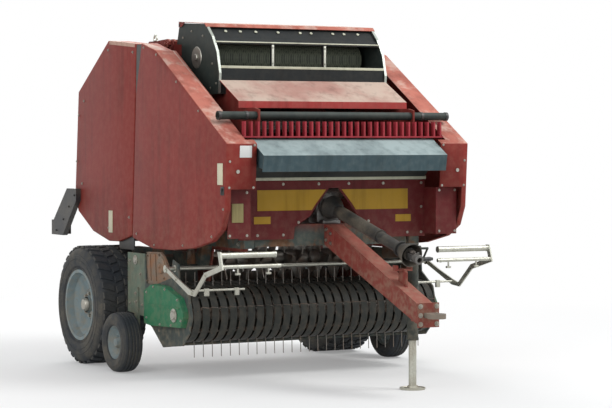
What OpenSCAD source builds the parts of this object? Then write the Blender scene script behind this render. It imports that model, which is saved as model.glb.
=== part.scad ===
/* [Running gear] */
// Outside diameter of the main tyres
tyre_d = 880; // [860:5:880]
// Width of the main tyres
tyre_w = 400; // [380:5:400]
// Outside radius of the main rims' flanges
rim_r = 262; // [255:1:270]
// Outside diameter of the pickup's gauge tyres
gauge_d = 430; // [420:2:430]

/* [Chamber and tailgate] */
// Radius of the pressing rollers
roller_r = 76; // [70:1:76]
// Sheet thickness of the painted covers
sheet = 4; // [3:0.5:5]
// Radius of the tailgate hinge pins
gate_pin_r = 22; // [18:0.5:24]

/* [Pickup] */
// Radius of one spring tine's wire
tine_r = 3; // [2.5:0.1:3]
// Width of one stripper band
stripper_w = 52; // [46:1:52]
// Radius of the wind guard's upper tubes
guard_bar_r = 20; // [14:0.5:21]

/* [Net wrap] */
// Radius of the net roll
net_roll_r = 110; // [80:1:120]

/* [Drawbar] */
// Radius of the hole in the hitch eye
eye_bore_r = 20; // [16:0.5:25]
// Radius of the parking jack's sliding leg
jack_leg_r = 26; // [22:0.5:28]

/* [Hidden] */

fit = 0.3;
run = 0.06;
plate = 12;

// Places in X and Z with the main axle at X 0 and the ground at Z 0
wheel_z = tyre_d / 2;
tyre_out_y = 1185;
tyre_in_y = tyre_out_y - tyre_w;
axle_end_y = 760;
hub_in_y = axle_end_y + 0.5;
lamp_rear_x = -970;
lamp_in_y = 843;
eye_x = 3110;
eye_z = 530;
eye_outer_r = 60;
eye_h = 32;
mid_x = (eye_x + eye_outer_r + lamp_rear_x) / 2;

axle_half = 60;
rail_z = 740;
rail_w = 78;
rail_members = [[[-120, rail_z], [1060, rail_z], [1020, rail_z + 120], [-120, rail_z + 120]],
  [[1060, rail_z], [1120, 920], [1090, 1030], [1020, rail_z + 120]],
  [[1120, 920], [1760, 920], [1760, 1030], [1090, 1030]],
  [[-axle_half, wheel_z + axle_half], [axle_half, wheel_z + axle_half], [axle_half, rail_z], [-axle_half, rail_z]]];
upright_members = [[[1640, 1030], [1760, 1030], [1760, 1400], [1640, 1480]],
  [[1640, 1480], [1760, 1400], [1900, 1500], [1900, 1680], [1830, 1680]]];
roof_z = 2272;
side_in_y = 610;
side_out_y = side_in_y + plate;
cover_y = 955;
shield_depth = 160;
cap_depth = 225;

chamber = [290, 1655];
roller_ring_r = 655;
front_roller_angles = [-70, -33, -10.5, 12, 34.5, 54];
rear_roller_angles = [-97.5, -120, -142.5, -165, -187.5, -210, -232.5, -255, -277.5];
roller_ribs = 10;
roller_rib = 6;

gate_hinge = [600, 2360];
gate_base = [640, 1820];
gate_eye = [260, 2260];
cylinder_y = 655;
cylinder_w = 30;
cylinder_pin_r = 16;
gate_pad = 8;
barrel_r = 34;
eye_gap = norm(gate_eye - gate_base);
barrel_len = eye_gap - 62;
rod_r = 16;
eye_r = 32;

gate_points = [[-520, 1120], [-236, 975], [60, 912], [240, 915], [470, 968], [535, 2000], [550, 2360],
  [60, 2400], [-510, 2030], [-578, 1255]];
cover_points = [[485, 952], [840, 886], [1170, 892], [1500, 920], [1775, 978], [1920, 1060], [1982, 1195],
  [2010, 1640], [890, 2300], [650, 2360], [550, 2000]];
cover_hinge = [782, 2352];
cover_pin_r = 8;

feed_axis = [900, 800];
feed_r = 190;
feed_shaft_r = 60;
feed_star_y = [-550, -450, -350, -250, -150, -50, 50, 150, 250, 350, 450, 550];

pivot = [620, 800];
pivot_pin_r = 20;
pivot_tube_r = 35;
reel = [1350, 450];
reel_tip_r = 300;
reel_bar_r = 12;
reel_bar_ring_r = 120;
tine_rows = 4;
tine_pitch = 70;
tine_count = 27;
stripper_r = 190;
stripper_t = 4;
end_in_y = 980;
end_t = 10;
guard_pivot = [1280, 770];
guard_arm_y = 1056;
guard_arm_t = 10;
guard_inner_y = 640;
gauge_axis = [668, gauge_d / 2];
gauge_in_y = 1040;
gauge_out_y = 1200;

jack_x = 2600;
jack_y = 132;
notch_half = [[320, 980], [310, 1066], [190, 1140], [130, 1220], [40, 1330]];
shaft_rear = [1722, 1200];
shaft_front = [2900, 880];

deck_path = [[1635, 1885], [1635, 1932], [1345, 2082]];
net_floor_path = [[1330, 1985], [1180, 1985], [735, 2262]];
net_front_x = net_floor_path[0][0];
net_side_points = [[655, 2352 + fit], [731, 2352 + fit], [735, 2262], [1180, 1985], [net_front_x, 1985], [1345, 2130],
  [1305, 2280], [1230, 2390], [1130, 2480], [735, 2506], [702, 2497], [690, 2470]];
net_bar_z = 2340;
net_post_y = [198, 222];
net_half = 675;
net_roll_at = [980, 2250];
net_tube_r = 22;
lid_hinge = [715, 2492];
lid_pin_r = 8;
tube_at = [1790, 1830];
tube_r = 28;

red = [0.52, 0.08, 0.07];
dark = [0.12, 0.13, 0.13];
steel = [0.6, 0.62, 0.6];

// Plane geometry
function unit(v) = v / norm(v);
function left_of(a, b) = let (d = unit(b - a)) [-d[1], d[0]];
function mitre(a, b, c, t) = let (m = left_of(a, b), n = left_of(b, c), h = unit(m + n)) b + h * t / (h * m);
function inset(pts, t) = let (n = len(pts))
  [for (i = [0 : n - 1]) mitre(pts[(i + n - 1) % n], pts[i], pts[(i + 1) % n], t)];
function beside(pts, t) = let (n = len(pts))
  [for (i = [0 : n - 1]) i == 0 ? pts[0] + left_of(pts[0], pts[1]) * t
    : i == n - 1 ? pts[i] + left_of(pts[i - 1], pts[i]) * t
    : mitre(pts[i - 1], pts[i], pts[i + 1], t)];
function backwards(pts) = [for (i = [len(pts) - 1 : -1 : 0]) pts[i]];
function on_ring(c, r, a) = [c[0] + r * cos(a), c[1] + r * sin(a)];

// A sheet drawn in X and Z, from y0 to y0 + t
module slab(y0, t) {
  translate([0, y0 + t, 0]) rotate([90, 0, 0]) linear_extrude(height = t) children();
}

module slab_of(pts, y0, t) {
  slab(y0, t) polygon(pts);
}

module strip(path, t, y0, w) {
  slab_of(concat(path, backwards(beside(path, t))), y0, w);
}

module plates(path, t, y0, w) {
  edge = beside(path, t);
  for (i = [0 : len(path) - 2]) {
    slab_of(inset(t > 0 ? [path[i], path[i + 1], edge[i + 1], edge[i]] : [edge[i], edge[i + 1], path[i + 1], path[i]],
      fit / 2), y0, w);
  }
}

module bar_xz(a, b, w, y0, t) {
  n = left_of(a, b) * w / 2;
  slab_of([a - n, b - n, b + n, a + n], y0, t);
}

module box(x0, x1, y0, y1, z0, z1) {
  translate([x0, y0, z0]) cube([x1 - x0, y1 - y0, z1 - z0]);
}

module tube_y(at, r, y0, y1) {
  translate([at[0], y1, at[1]]) rotate([90, 0, 0]) cylinder(h = y1 - y0, r = r, $fn = 48);
}

module along_x(at, r, len) {
  translate(at) rotate([0, 90, 0]) cylinder(h = len, r = r, $fn = 48);
}

module rod_between(a, b, r, sides = 48) {
  d = b - a;
  translate(a) rotate([0, acos(d[2] / norm(d)), atan2(d[1], d[0])]) cylinder(h = norm(d), r = r, $fn = sides);
}

module pair() {
  children();
  mirror([0, 1, 0]) children();
}

module placed() {
  translate([-mid_x, 0, 0]) children();
}

// Chassis
module roof_beam() {
  box(650, 730, -740, 740, roof_z, roof_z + 80);
  box(660, 720, -796, 796, roof_z, roof_z + 58);
  pair() {
    slab_of([[570, 2330], [650, roof_z], [730, roof_z], [730, roof_z + 80], [650, roof_z + 80], [625, 2385], [580, 2390]],
      690, 10);
    tube_y(gate_hinge, gate_pin_r, 640, 740);
    box(690, 702, 772, 794, 2325, roof_z + 80);
    along_x([690, cover_hinge[0], cover_hinge[1]], 14, 12);
    along_x([690, cover_hinge[0], cover_hinge[1]], cover_pin_r, 72);
  }
}

module frame() {
  color(red) placed() {
    box(-axle_half, axle_half, -axle_end_y, axle_end_y, wheel_z - axle_half, wheel_z + axle_half);
    pair() {
      difference() {
        union() {
          for (member = rail_members) slab_of(inset(member, fit / 2), side_out_y, rail_w);
          for (member = upright_members) slab_of(inset(member, fit / 2), side_out_y + 8, 50);
        }
        tube_y(pivot, pivot_tube_r + fit, side_out_y - 5, side_out_y + rail_w + 5);
      }
      tube_y(gate_base, cylinder_pin_r, side_out_y, cylinder_y + cylinder_w + 2);
    }
    roof_beam();
    tube_y(pivot, pivot_tube_r, -end_in_y + 6, end_in_y - 6);
    pair() tube_y(pivot, pivot_pin_r, end_in_y - 6, end_in_y + end_t + 4);
    box(1640, 1740, -side_in_y + fit, side_in_y - fit, 930, 1080);
  }
}

module drawbar() {
  color(red) placed() {
    slab_of([[1740, 935], [2950, 475], [3000, 475], [3000, 590], [1800, 1075], [1740, 1075]], -60, 120);
    box(3000, 3012, -80, 80, 450, 610);
    slab_of([[2640, 700], [2740, 662], [2740, 790], [2720, 815], [2655, 815]], -8, 16);
    box(2660, 2715, -60, 60, 800, 812);
  }
}

module hitch_eye() {
  color(steel) placed() {
    difference() {
      union() {
        translate([eye_x, 0, eye_z - eye_h / 2]) cylinder(h = eye_h, r = eye_outer_r, $fn = 64);
        box(3012, eye_x, -38, 38, eye_z - eye_h / 2, eye_z + eye_h / 2);
      }
      translate([eye_x, 0, eye_z - eye_h]) cylinder(h = 2 * eye_h, r = eye_bore_r, $fn = 64);
    }
  }
}

module jack() {
  color(dark) placed() {
    difference() {
      translate([jack_x, jack_y, 330]) cylinder(h = 640, r = 38, $fn = 48);
      translate([jack_x, jack_y, 320]) cylinder(h = 620, r = jack_leg_r + 1, $fn = 48);
    }
    box(jack_x - 45, jack_x + 45, 60, 98, 600, 700);
    rod_between([jack_x, jack_y, 940], [jack_x, jack_y + 120, 940], 8);
    rod_between([jack_x, jack_y + 115, 935], [jack_x - 60, jack_y + 115, 860], 7);
    rod_between([jack_x - 57, jack_y + 108, 864], [jack_x - 57, jack_y + 190, 864], 11);
  }
}

module jack_leg() {
  color(steel) placed() {
    translate([jack_x, jack_y, 8]) cylinder(h = 560, r = jack_leg_r, $fn = 48);
    translate([jack_x, jack_y, 0]) cylinder(h = 10, r = 85, $fn = 48);
  }
}

module gearbox() {
  color(dark) placed() {
    box(1560, 1690, -95, 95, 1080, 1300);
    box(1540, 1740, -70, 70, 1080, 1104);
    translate([1690, 0, shaft_rear[1]]) rotate([0, 90, 0]) cylinder(h = 26, r = 60, $fn = 48);
    tube_y([1625, shaft_rear[1]], 50, -side_in_y + fit, -90);
  }
}

module driveline() {
  d = unit(shaft_front - shaft_rear);
  a = [shaft_rear[0], 0, shaft_rear[1]];
  b = [shaft_front[0], 0, shaft_front[1]];
  e = [d[0], 0, d[1]];
  color(dark) placed() {
    translate([1716 + fit, 0, shaft_rear[1]]) rotate([0, 90, 0]) cylinder(h = 34, r = 30, $fn = 32);
    rod_between(a + e * 10, b - e * 100, 30);
    rod_between(a + e * 60, a + e * 700, 44);
    rod_between(a + e * 650, b - e * 130, 38);
    translate(a) rotate([0, acos(d[1]), 0]) translate([0, 0, 20]) cylinder(h = 130, r1 = 88, r2 = 50, $fn = 48);
    difference() {
      translate(b) rotate([0, acos(d[1]), 0]) translate([0, 0, -230]) cylinder(h = 130, r1 = 44, r2 = 82, $fn = 48);
      translate(b) rotate([0, acos(d[1]), 0]) translate([0, 0, -180]) cylinder(h = 90, r = 36, $fn = 48);
    }
    difference() {
      rod_between(b - e * 130, b, 32);
      translate(b) rotate([0, acos(d[1]), 0]) translate([0, 0, -60]) cylinder(h = 70, r = 17.5, $fn = 48);
    }
  }
}

// Fixed half of the bale chamber
module chamber_sides() {
  contour = concat(
    [[485, 760], [680, 760], [700, 600], [1060, 600], [1090, 760], [1130, 890], [1640, 890], [1640, 1480], [1830, 1690],
     [1830, 1872], [1760, 1885]],
    beside(deck_path, 5 + fit),
    [[net_front_x + 6 + fit, 2050], [net_front_x + 6 + fit, 1985 - fit], [1180, 1985 - fit], [735, 2262 - fit], [735, roof_z - fit],
      [575, roof_z - fit],
     [550, 2000], [485, 970]]);
  color(red) placed() pair() {
    difference() {
      slab_of(contour, side_in_y, plate);
      tube_y(tube_at, tube_r + fit, side_in_y - 5, side_out_y + 5);
      tube_y(pivot, pivot_tube_r + fit, side_in_y - 5, side_out_y + 5);
    }
  }
}

module roller_profile() {
  circle(r = roller_r - roller_rib, $fn = 48);
  for (i = [0 : roller_ribs - 1]) {
    rotate(i * 360 / roller_ribs) translate([roller_r - roller_rib - 3, -5]) square([roller_rib + 2, 10]);
  }
}

module rollers(angles) {
  for (a = angles) {
    c = on_ring(chamber, roller_ring_r, a);
    translate([c[0], side_in_y - fit, c[1]]) rotate([90, 0, 0])
      linear_extrude(height = 2 * (side_in_y - fit)) roller_profile();
  }
}

module chamber_rollers() {
  color(steel) placed() rollers(front_roller_angles);
}

module feed_floor() {
  path = [[700, 700], [735, 640], [820, 600], [980, 600], [1060, 640]];
  color(dark) placed() slab_of(concat(path, backwards(beside(path, -sheet))), -side_in_y + fit, 2 * (side_in_y - fit));
}

module feed_rotor() {
  color(steel) placed() {
    tube_y(feed_axis, feed_shaft_r, -side_in_y + 0.5, side_in_y - 0.5);
    for (i = [0 : len(feed_star_y) - 1]) {
      slab(feed_star_y[i] - 5, 10) translate(feed_axis) for (k = [0 : 3]) {
        rotate(k * 90 + i * 30)
          polygon([[0, -55], [feed_r * 0.72, -40], [feed_r * 0.98, 18], [feed_r * 0.9, 30], [feed_r * 0.5, 32], [0, 55]]);
      }
    }
  }
}

// Front of the machine
module front_panel() {
  color(red) placed() {
    translate([1760, 0, 0]) rotate([90, 0, 90]) linear_extrude(height = 8)
      polygon(concat([[-745, 1385], [-745, 980]], [for (p = notch_half) [-p[0], p[1]]], backwards(notch_half),
        [[745, 980], [745, 1385]]));
    pair() {
      box(1922, 1930, 737, cover_y - 46, 1000, 1330);
      box(1760, 1925, 737, 745, 1000, 1330);
    }
  }
}

module front_bands() {
  color([0.75, 0.55, 0.12]) placed() {
    pair() translate([1768, 0, 0]) rotate([90, 0, 90]) linear_extrude(height = 3)
      polygon([[176, 1178], [602, 1178], [602, 1320], [62, 1320], [145, 1222]]);
    pair() box(1768, 1771, 500, 628, 1088, 1138);
  }
}

module hood() {
  path = [[2080, 1450], [2100, 1560], [1904, 1672]];
  color([0.6, 0.68, 0.68]) placed() {
    slab_of(concat(path, backwards(beside(path, sheet))), -725, 1450);
    box(1900, 1906, -725, 725, 1500, 1670);
    pair() slab_of([[1906, 1500], [2078, 1458], [2094, 1558], [1906, 1665]], 700, 5);
  }
}

module slats() {
  color(red) placed() {
    box(1850, 1932, -795, 795, 1680, 1690);
    for (i = [0 : 30]) {
      translate([1890, -783 + i * 51.8, 1690]) cube([40, 12, 100]);
    }
  }
}

module cross_tube() {
  color(dark) placed() tube_y(tube_at, tube_r, -915, 915);
}

module deck() {
  color([0.8, 0.6, 0.55]) placed() {
    strip(deck_path, 5, -net_half, 2 * net_half);
  }
}

// Net wrap box
module net_box_sides() {
  color(dark) placed() pair() {
    slab_of(net_side_points, net_half - 6, 6);
    tube_y(lid_hinge, lid_pin_r, net_half - 1, net_half + 11);
  }
}

module net_box_front() {
  color(dark) placed() {
    plates(backwards(net_floor_path), 5, -net_half + 6, 2 * net_half - 12);
    box(net_front_x + fit, net_front_x + 6, -net_half + 6, net_half - 6, 1985, 2180);
    pair() box(1238, 1262, net_post_y[0], net_post_y[1], 1990 + fit, net_bar_z - fit);
    box(1234, 1266, -net_half + 6, net_half - 6, net_bar_z, net_bar_z + 12);
    plates([[1262, net_bar_z + 12 + fit], [1214, 2388], [1118, 2474]], sheet, -net_half + 6, 2 * net_half - 12);
    tube_y(net_roll_at, net_tube_r, -net_half + 6, net_half - 6);
  }
}

module net_roll() {
  color([0.85, 0.87, 0.85]) placed() difference() {
    tube_y(net_roll_at, net_roll_r, -side_in_y - 10, side_in_y + 10);
    tube_y(net_roll_at, net_tube_r + fit, -net_half, net_half);
  }
}

module net_lid() {
  path = [[1162, 2462], [1137, 2487], [712, 2517]];
  color(red) placed() {
    strip(path, sheet, -net_half - 15, 2 * net_half + 30);
    pair() difference() {
      slab_of([[700, 2478], [745, 2478], [790, 2504], [790, 2510.5], [712, 2516], [700, 2505]], net_half + 3, 5);
      tube_y(lid_hinge, lid_pin_r + run, net_half - 5, net_half + 15);
    }
  }
}

// Side covers, hung from the roof beam's ends
module cover() {
  color(red) placed() {
    difference() {
      slab_of(cover_points, cover_y - 40, 40);
      slab_of(inset(cover_points, sheet), cover_y - 45, 45 - sheet);
    }
    strip([[2010, 1640], [890, 2300]], sheet, cover_y - shield_depth, shield_depth);
    strip([[890, 2300], [650, 2360]], sheet, cover_y - 130, 130);
    strip([[1990, 1333], [2010, 1640], [1965, 1666.5]], sheet, cover_y - cap_depth, cap_depth);
    translate([745, 0, 0]) rotate([90, 0, 90]) linear_extrude(height = 12) difference() {
      union() {
        translate(cover_hinge) circle(r = 18, $fn = 48);
        polygon([[782, 2334], [860, 2310], [860, 2333], [820, 2333], [790, 2366]]);
      }
      translate(cover_hinge) circle(r = cover_pin_r + run, $fn = 48);
    }
  }
}

module cover_left() {
  cover();
}

module cover_right() {
  mirror([0, 1, 0]) cover();
}

// Tailgate
module tailgate_shell() {
  path = [[400, 952], [240, 915], [60, 912], [-236, 975], [-520, 1120], [-578, 1255], [-510, 2030], [60, 2400],
    [540, 2397]];
  side = [[-236, 975], [60, 912], [240, 915], [470, 968], [535, 2000], [548, 2397], [60, 2400], [-510, 2030],
    [-578, 1255], [-520, 1120]];
  color(red) placed() {
    plates(path, -5, -side_in_y + fit, 2 * (side_in_y - fit));
    pair() {
      difference() {
        union() {
          slab_of(side, side_in_y, plate);
          for (y = [664, 708]) {
            slab_of([[440, 2280], [515, 2280], [600, 2324], [636, 2350], [632, 2378], [600, 2396], [440, 2390]], y, 18);
          }
          box(440, 500, side_out_y, 708, 2280, 2390);
        }
        tube_y(gate_hinge, gate_pin_r + run, 640, 760);
      }
      tube_y(gate_eye, 45, side_out_y, side_out_y + gate_pad);
      for (p = [[-440, 1330], [-400, 1960], [60, 1010], [60, 2330]]) {
        tube_y(p, 15, side_out_y + fit, cover_y - sheet);
      }
    }
  }
}

module tailgate_shields() {
  color(red) placed() pair() {
    difference() {
      slab_of(gate_points, cover_y - shield_depth, shield_depth);
      slab_of(inset(gate_points, sheet), cover_y - shield_depth - 5, shield_depth + 5 - sheet);
    }
  }
}

module tailgate_rollers() {
  color(steel) placed() rollers(rear_roller_angles);
}

module lamp_carriers() {
  color(dark) placed() pair() {
    slab_of([[-930, 925], [-735, 925], [-470, 1200], [-470, 1290], [-650, 1290], [-930, 1030]], cover_y, 40);
    box(-958, -930 - fit, lamp_in_y, cover_y + 40, 925, 1040);
  }
}

module lamps() {
  color([0.7, 0.05, 0.05]) placed() pair() {
    for (y = [lamp_in_y + 8, lamp_in_y + 78]) box(lamp_rear_x, -958 - fit, y, y + 66, 938, 1028);
  }
}

// Tailgate cylinders
stroke_axis = unit(gate_eye - gate_base);

module ram_eye(at) {
  tube_y(at, eye_r, cylinder_y, cylinder_y + cylinder_w);
}

module ram_rod(from, to, r) {
  y = cylinder_y + cylinder_w / 2;
  a = gate_base + stroke_axis * from;
  b = gate_base + stroke_axis * to;
  rod_between([a[0], y, a[1]], [b[0], y, b[1]], r);
}

module gate_barrel() {
  color(dark) placed() {
    difference() {
      ram_eye(gate_base);
      tube_y(gate_base, cylinder_pin_r + run, cylinder_y - 5, cylinder_y + cylinder_w + 5);
    }
    difference() {
      ram_rod(eye_r - 4, barrel_len, barrel_r);
      ram_rod(eye_r + 60, barrel_len + 5, rod_r + 0.5);
    }
  }
}

module gate_rod() {
  color(steel) placed() {
    ram_eye(gate_eye);
    tube_y(gate_eye, cylinder_pin_r, side_out_y + gate_pad + fit, cylinder_y + cylinder_w + 6);
    ram_rod(eye_r + 70, eye_gap - eye_r + 4, rod_r);
  }
}

module gate_barrel_left() {
  gate_barrel();
}

module gate_barrel_right() {
  mirror([0, 1, 0]) gate_barrel();
}

module gate_rod_left() {
  gate_rod();
}

module gate_rod_right() {
  mirror([0, 1, 0]) gate_rod();
}

// Main wheels
module main_tyre() {
  r = tyre_d / 2;
  color([0.05, 0.05, 0.05]) placed() translate([0, tyre_in_y, wheel_z]) rotate([-90, 0, 0])
    rotate_extrude($fn = 96) polygon([[rim_r - 12 + fit, 31], [rim_r + fit, 28.5], [rim_r + 12, 14], [rim_r + 60, 0], [r - 70, 4], [r - 22, 22],
      [r - 4, 48], [r, 90], [r, 120], [r - 12, 124], [r - 12, 140], [r, 144], [r, tyre_w - 144], [r - 12, tyre_w - 140],
      [r - 12, tyre_w - 124], [r, tyre_w - 120], [r, tyre_w - 90], [r - 4, tyre_w - 48], [r - 22, tyre_w - 22],
      [r - 70, tyre_w - 4], [rim_r + 60, tyre_w], [rim_r + 12, tyre_w - 14], [rim_r + fit, tyre_w - 28.5],
      [rim_r - 12 + fit, tyre_w - 31]]);
}

module main_rim() {
  w = tyre_w - 28;
  color(steel) placed() translate([0, tyre_in_y + 14, wheel_z]) rotate([-90, 0, 0]) {
    rotate_extrude($fn = 96) polygon([[rim_r - 40, 0], [rim_r, 0], [rim_r, 14], [rim_r - 12, 16.5], [rim_r - 12, w - 16.5],
      [rim_r, w - 14], [rim_r, w], [rim_r - 22, w], [rim_r - 30, w - 60], [rim_r - 60, w - 90], [130, w - 120],
      [100, w - 90], [60, w - 90], [60, w - 60], [0, w - 60], [0, w - 150], [70, w - 150], [76, w - 130],
      [rim_r - 60, w - 102], [rim_r - 42, w - 110], [rim_r - 30, 30]]);
    translate([0, 0, hub_in_y - tyre_in_y - 14]) cylinder(h = w - 140 - (hub_in_y - tyre_in_y - 14), r = 65, $fn = 48);
  }
}

module tyre_left() {
  main_tyre();
}

module tyre_right() {
  mirror([0, 1, 0]) main_tyre();
}

module rim_left() {
  main_rim();
}

module rim_right() {
  mirror([0, 1, 0]) main_rim();
}

// Pickup
module pickup_frame() {
  color(steel) placed() {
    tube_y([980, 430], 40, -end_in_y, end_in_y);
    box(1075, 1105, -end_in_y, end_in_y, 640, 653.5);
    box(1095, 1125, -end_in_y, end_in_y, 214, 230);
    pair() {
      difference() {
        slab_of([[480, 420], [760, 400], [900, 330], [1080, 205], [1400, 240], [1500, 330], [1545, 450], [1500, 600],
          [1345, 700], [1335, 800], [1240, 830], [1210, 700], [960, 640], [800, 640], [780, 850], [480, 850]],
          end_in_y, end_t);
        tube_y(pivot, pivot_pin_r + run, end_in_y - 5, end_in_y + 20);
        tube_y(guard_pivot, 15 + run, end_in_y - 5, end_in_y + 20);
      }
      bar_xz([640, 600], gauge_axis, 70, end_in_y + end_t, 12);
      tube_y(gauge_axis, 20, end_in_y + end_t, gauge_in_y + 39.5);
    }
  }
}

module pickup_covers() {
  color([0.1, 0.45, 0.3]) placed() pair() {
    slab_of([[850, 362], [960, 352], [1450, 372], [1490, 440], [1486, 480], [1420, 570], [1185, 640], [970, 642], [845, 592]],
      end_in_y + end_t, 42);
  }
}

module stripper_profile() {
  difference() {
    circle(r = stripper_r, $fn = 64);
    circle(r = stripper_r - stripper_t, $fn = 64);
    translate([-2 * stripper_r, -stripper_r - 5]) square([2 * stripper_r, 2 * stripper_r + 10]);
  }
}

module strippers() {
  color(dark) placed() for (i = [0 : tine_count]) {
    y = (i - tine_count / 2) * tine_pitch - stripper_w / 2;
    slab(y, stripper_w) {
      translate(reel) stripper_profile();
      polygon([[1352, 636], [1352, 640], [1075, 660], [1075, 656]]);
      polygon([[1352, 260], [1352, 264], [1095, 234], [1095, 230]]);
    }
  }
}

module pickup_reel() {
  color(steel) placed() {
    tube_y(reel, 38, -end_in_y + 0.5, end_in_y - 0.5);
    for (y = [-955, -320, 320, 955]) {
      tube_y(reel, reel_bar_ring_r + 20, y - 4, y + 4);
    }
    for (k = [0 : tine_rows - 1]) {
      a = 20 + k * 360 / tine_rows;
      tube_y(on_ring(reel, reel_bar_ring_r, a), reel_bar_r, -960, 960);
      for (i = [0 : tine_count - 1]) {
        y = (i - (tine_count - 1) / 2) * tine_pitch;
        p = on_ring(reel, reel_bar_ring_r, a);
        q = on_ring(reel, reel_tip_r - 1, a - 7);
        rod_between([p[0], y, p[1]], [q[0], y, q[1]], tine_r, 6);
      }
    }
  }
}

module wind_guard() {
  color([0.75, 0.77, 0.7]) placed() {
    tube_y(guard_pivot, 15, -guard_arm_y, guard_arm_y);
    pair() {
      tube_y([2105, 900], guard_bar_r, guard_inner_y, guard_arm_y);
      tube_y([2138, 826], 13, guard_inner_y - 20, guard_arm_y);
      tube_y([1650, 640], 8, guard_inner_y, guard_arm_y);
      slab_of([[1262, 762], [1450, 690], [1640, 615], [1740, 606], [1905, 742], [2162, 808], [2125, 925], [2085, 925],
        [2118, 832], [1890, 775], [1725, 635], [1650, 655], [1450, 722], [1280, 790]], guard_arm_y, guard_arm_t);
    }
  }
}

module gauge_wheel() {
  r = gauge_d / 2;
  w = gauge_out_y - gauge_in_y;
  color([0.05, 0.05, 0.05]) placed() translate([gauge_axis[0], gauge_in_y, gauge_axis[1]]) rotate([-90, 0, 0])
    rotate_extrude($fn = 72) polygon([[0, 40], [40, 40], [48, 70], [96, 74], [112, 40], [118, 14], [150, 0], [r - 30, 4],
      [r - 6, 20], [r, 44], [r, w - 44], [r - 6, w - 20], [r - 30, w - 4], [150, w], [118, w - 14], [112, w - 40],
      [96, w - 66], [48, w - 62], [40, w - 30], [0, w - 30]]);
}

module gauge_wheel_left() {
  gauge_wheel();
}

module gauge_wheel_right() {
  mirror([0, 1, 0]) gauge_wheel();
}

frame();
drawbar();
hitch_eye();
jack();
jack_leg();
gearbox();
driveline();
chamber_sides();
chamber_rollers();
feed_floor();
feed_rotor();
front_panel();
front_bands();
hood();
slats();
cross_tube();
deck();
net_box_sides();
net_box_front();
net_roll();
net_lid();
cover_left();
cover_right();
tailgate_shell();
tailgate_shields();
tailgate_rollers();
lamp_carriers();
lamps();
gate_barrel_left();
gate_barrel_right();
gate_rod_left();
gate_rod_right();
tyre_left();
tyre_right();
rim_left();
rim_right();
pickup_frame();
pickup_covers();
strippers();
pickup_reel();
wind_guard();
gauge_wheel_left();
gauge_wheel_right();
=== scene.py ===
import math
from contextlib import contextmanager

import bmesh
import bpy
from mathutils import Matrix, Vector


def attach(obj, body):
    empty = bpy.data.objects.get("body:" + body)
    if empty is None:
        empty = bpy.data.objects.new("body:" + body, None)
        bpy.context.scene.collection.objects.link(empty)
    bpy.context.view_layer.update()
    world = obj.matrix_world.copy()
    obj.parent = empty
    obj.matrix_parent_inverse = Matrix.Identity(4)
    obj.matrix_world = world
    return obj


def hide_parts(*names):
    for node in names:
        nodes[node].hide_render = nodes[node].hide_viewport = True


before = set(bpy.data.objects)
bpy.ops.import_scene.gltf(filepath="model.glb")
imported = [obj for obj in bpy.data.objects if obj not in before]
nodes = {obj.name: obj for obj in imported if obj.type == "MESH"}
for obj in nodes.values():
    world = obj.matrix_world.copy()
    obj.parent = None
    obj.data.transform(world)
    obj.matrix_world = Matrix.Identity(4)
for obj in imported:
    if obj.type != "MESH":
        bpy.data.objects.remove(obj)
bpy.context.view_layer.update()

# Places are in millimetres from the main axle, as in the part's source
MID_X = 1100
WHEEL_Z = 440
TYRE_IN, TYRE_OUT = 785, 1185
COVER_Y = 955
NET_HALF = 675
PANEL_X, CORNER_X = 1768, 1930
JACK_X, JACK_Y = 2600, 132
# Cross shaft of the gearbox, pins of the tailgate cylinders and middle of the reel, in X and Z
GEAR = (1625, 1200)
RAM_BASE, RAM_EYE = (640, 1820), (260, 2260)
REEL = (1350, 450)

LEFT, RIGHT = (0, 1, 0), (0, -1, 0)
AHEAD, BEHIND = (1, 0, 0), (-1, 0, 0)
UP, DOWN = (0, 0, 1), (0, 0, -1)
SIDES = (("left", 1), ("right", -1))
WELD = 2e-5


def at(x, y, z):
    """The place in metres from the middle of the machine's length."""
    return Vector(((x - MID_X) / 1000, y / 1000, z / 1000))


# Mesh tools

def only_verts(geom):
    return [g for g in geom if isinstance(g, bmesh.types.BMVert)]


def turned_to(place, x, y, z):
    """The matrix that puts a mesh at a place, with its own axes along the three given."""
    return Matrix.Translation(place) @ Matrix((x, y, z)).transposed().to_4x4()


def bar(bm, size, matrix):
    """A box of a size in millimetres, put in its place by the matrix."""
    made = bmesh.ops.create_cube(bm, size=1.0)["verts"]
    bmesh.ops.scale(bm, vec=Vector(size) / 1000, verts=made)
    bmesh.ops.transform(bm, matrix=matrix, verts=made)
    return made


def soften(bm, edges, width, segments):
    return bmesh.ops.bevel(bm, geom=edges, offset=width / 1000, affect="EDGES", segments=segments,
                           profile=0.5, material=-1)


def block(bm, x0, x1, y0, y1, z0, z1, edge):
    """A box between two corners with its edges softened."""
    middle = at((x0 + x1) / 2, (y0 + y1) / 2, (z0 + z1) / 2)
    made = bar(bm, (x1 - x0, y1 - y0, z1 - z0), Matrix.Translation(middle))
    return soften(bm, list({e for v in made for e in v.link_edges}), edge, 2)["verts"]


def edge_bar(bm, a, b, y0, y1, t):
    """A flat bar that runs from a to b in X and Z."""
    along = Vector((b[0] - a[0], 0, b[1] - a[1]))
    length = along.length
    along.normalize()
    middle = at((a[0] + b[0]) / 2, (y0 + y1) / 2, (a[1] + b[1]) / 2)
    bar(bm, (length, y1 - y0, t), turned_to(middle, along, LEFT, (-along.z, 0, along.x)))


def bar_chain(bm, points, y0, y1, t):
    for a, b in zip(points, points[1:]):
        edge_bar(bm, a, b, y0, y1, t)


def rod(bm, a, b, r, sides=16):
    along = b - a
    spot = Matrix.Translation((a + b) / 2) @ along.to_track_quat("Z", "Y").to_matrix().to_4x4()
    bmesh.ops.create_cone(bm, cap_ends=True, cap_tris=False, segments=sides, radius1=r / 1000,
                          radius2=r / 1000, depth=along.length, matrix=spot)


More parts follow.
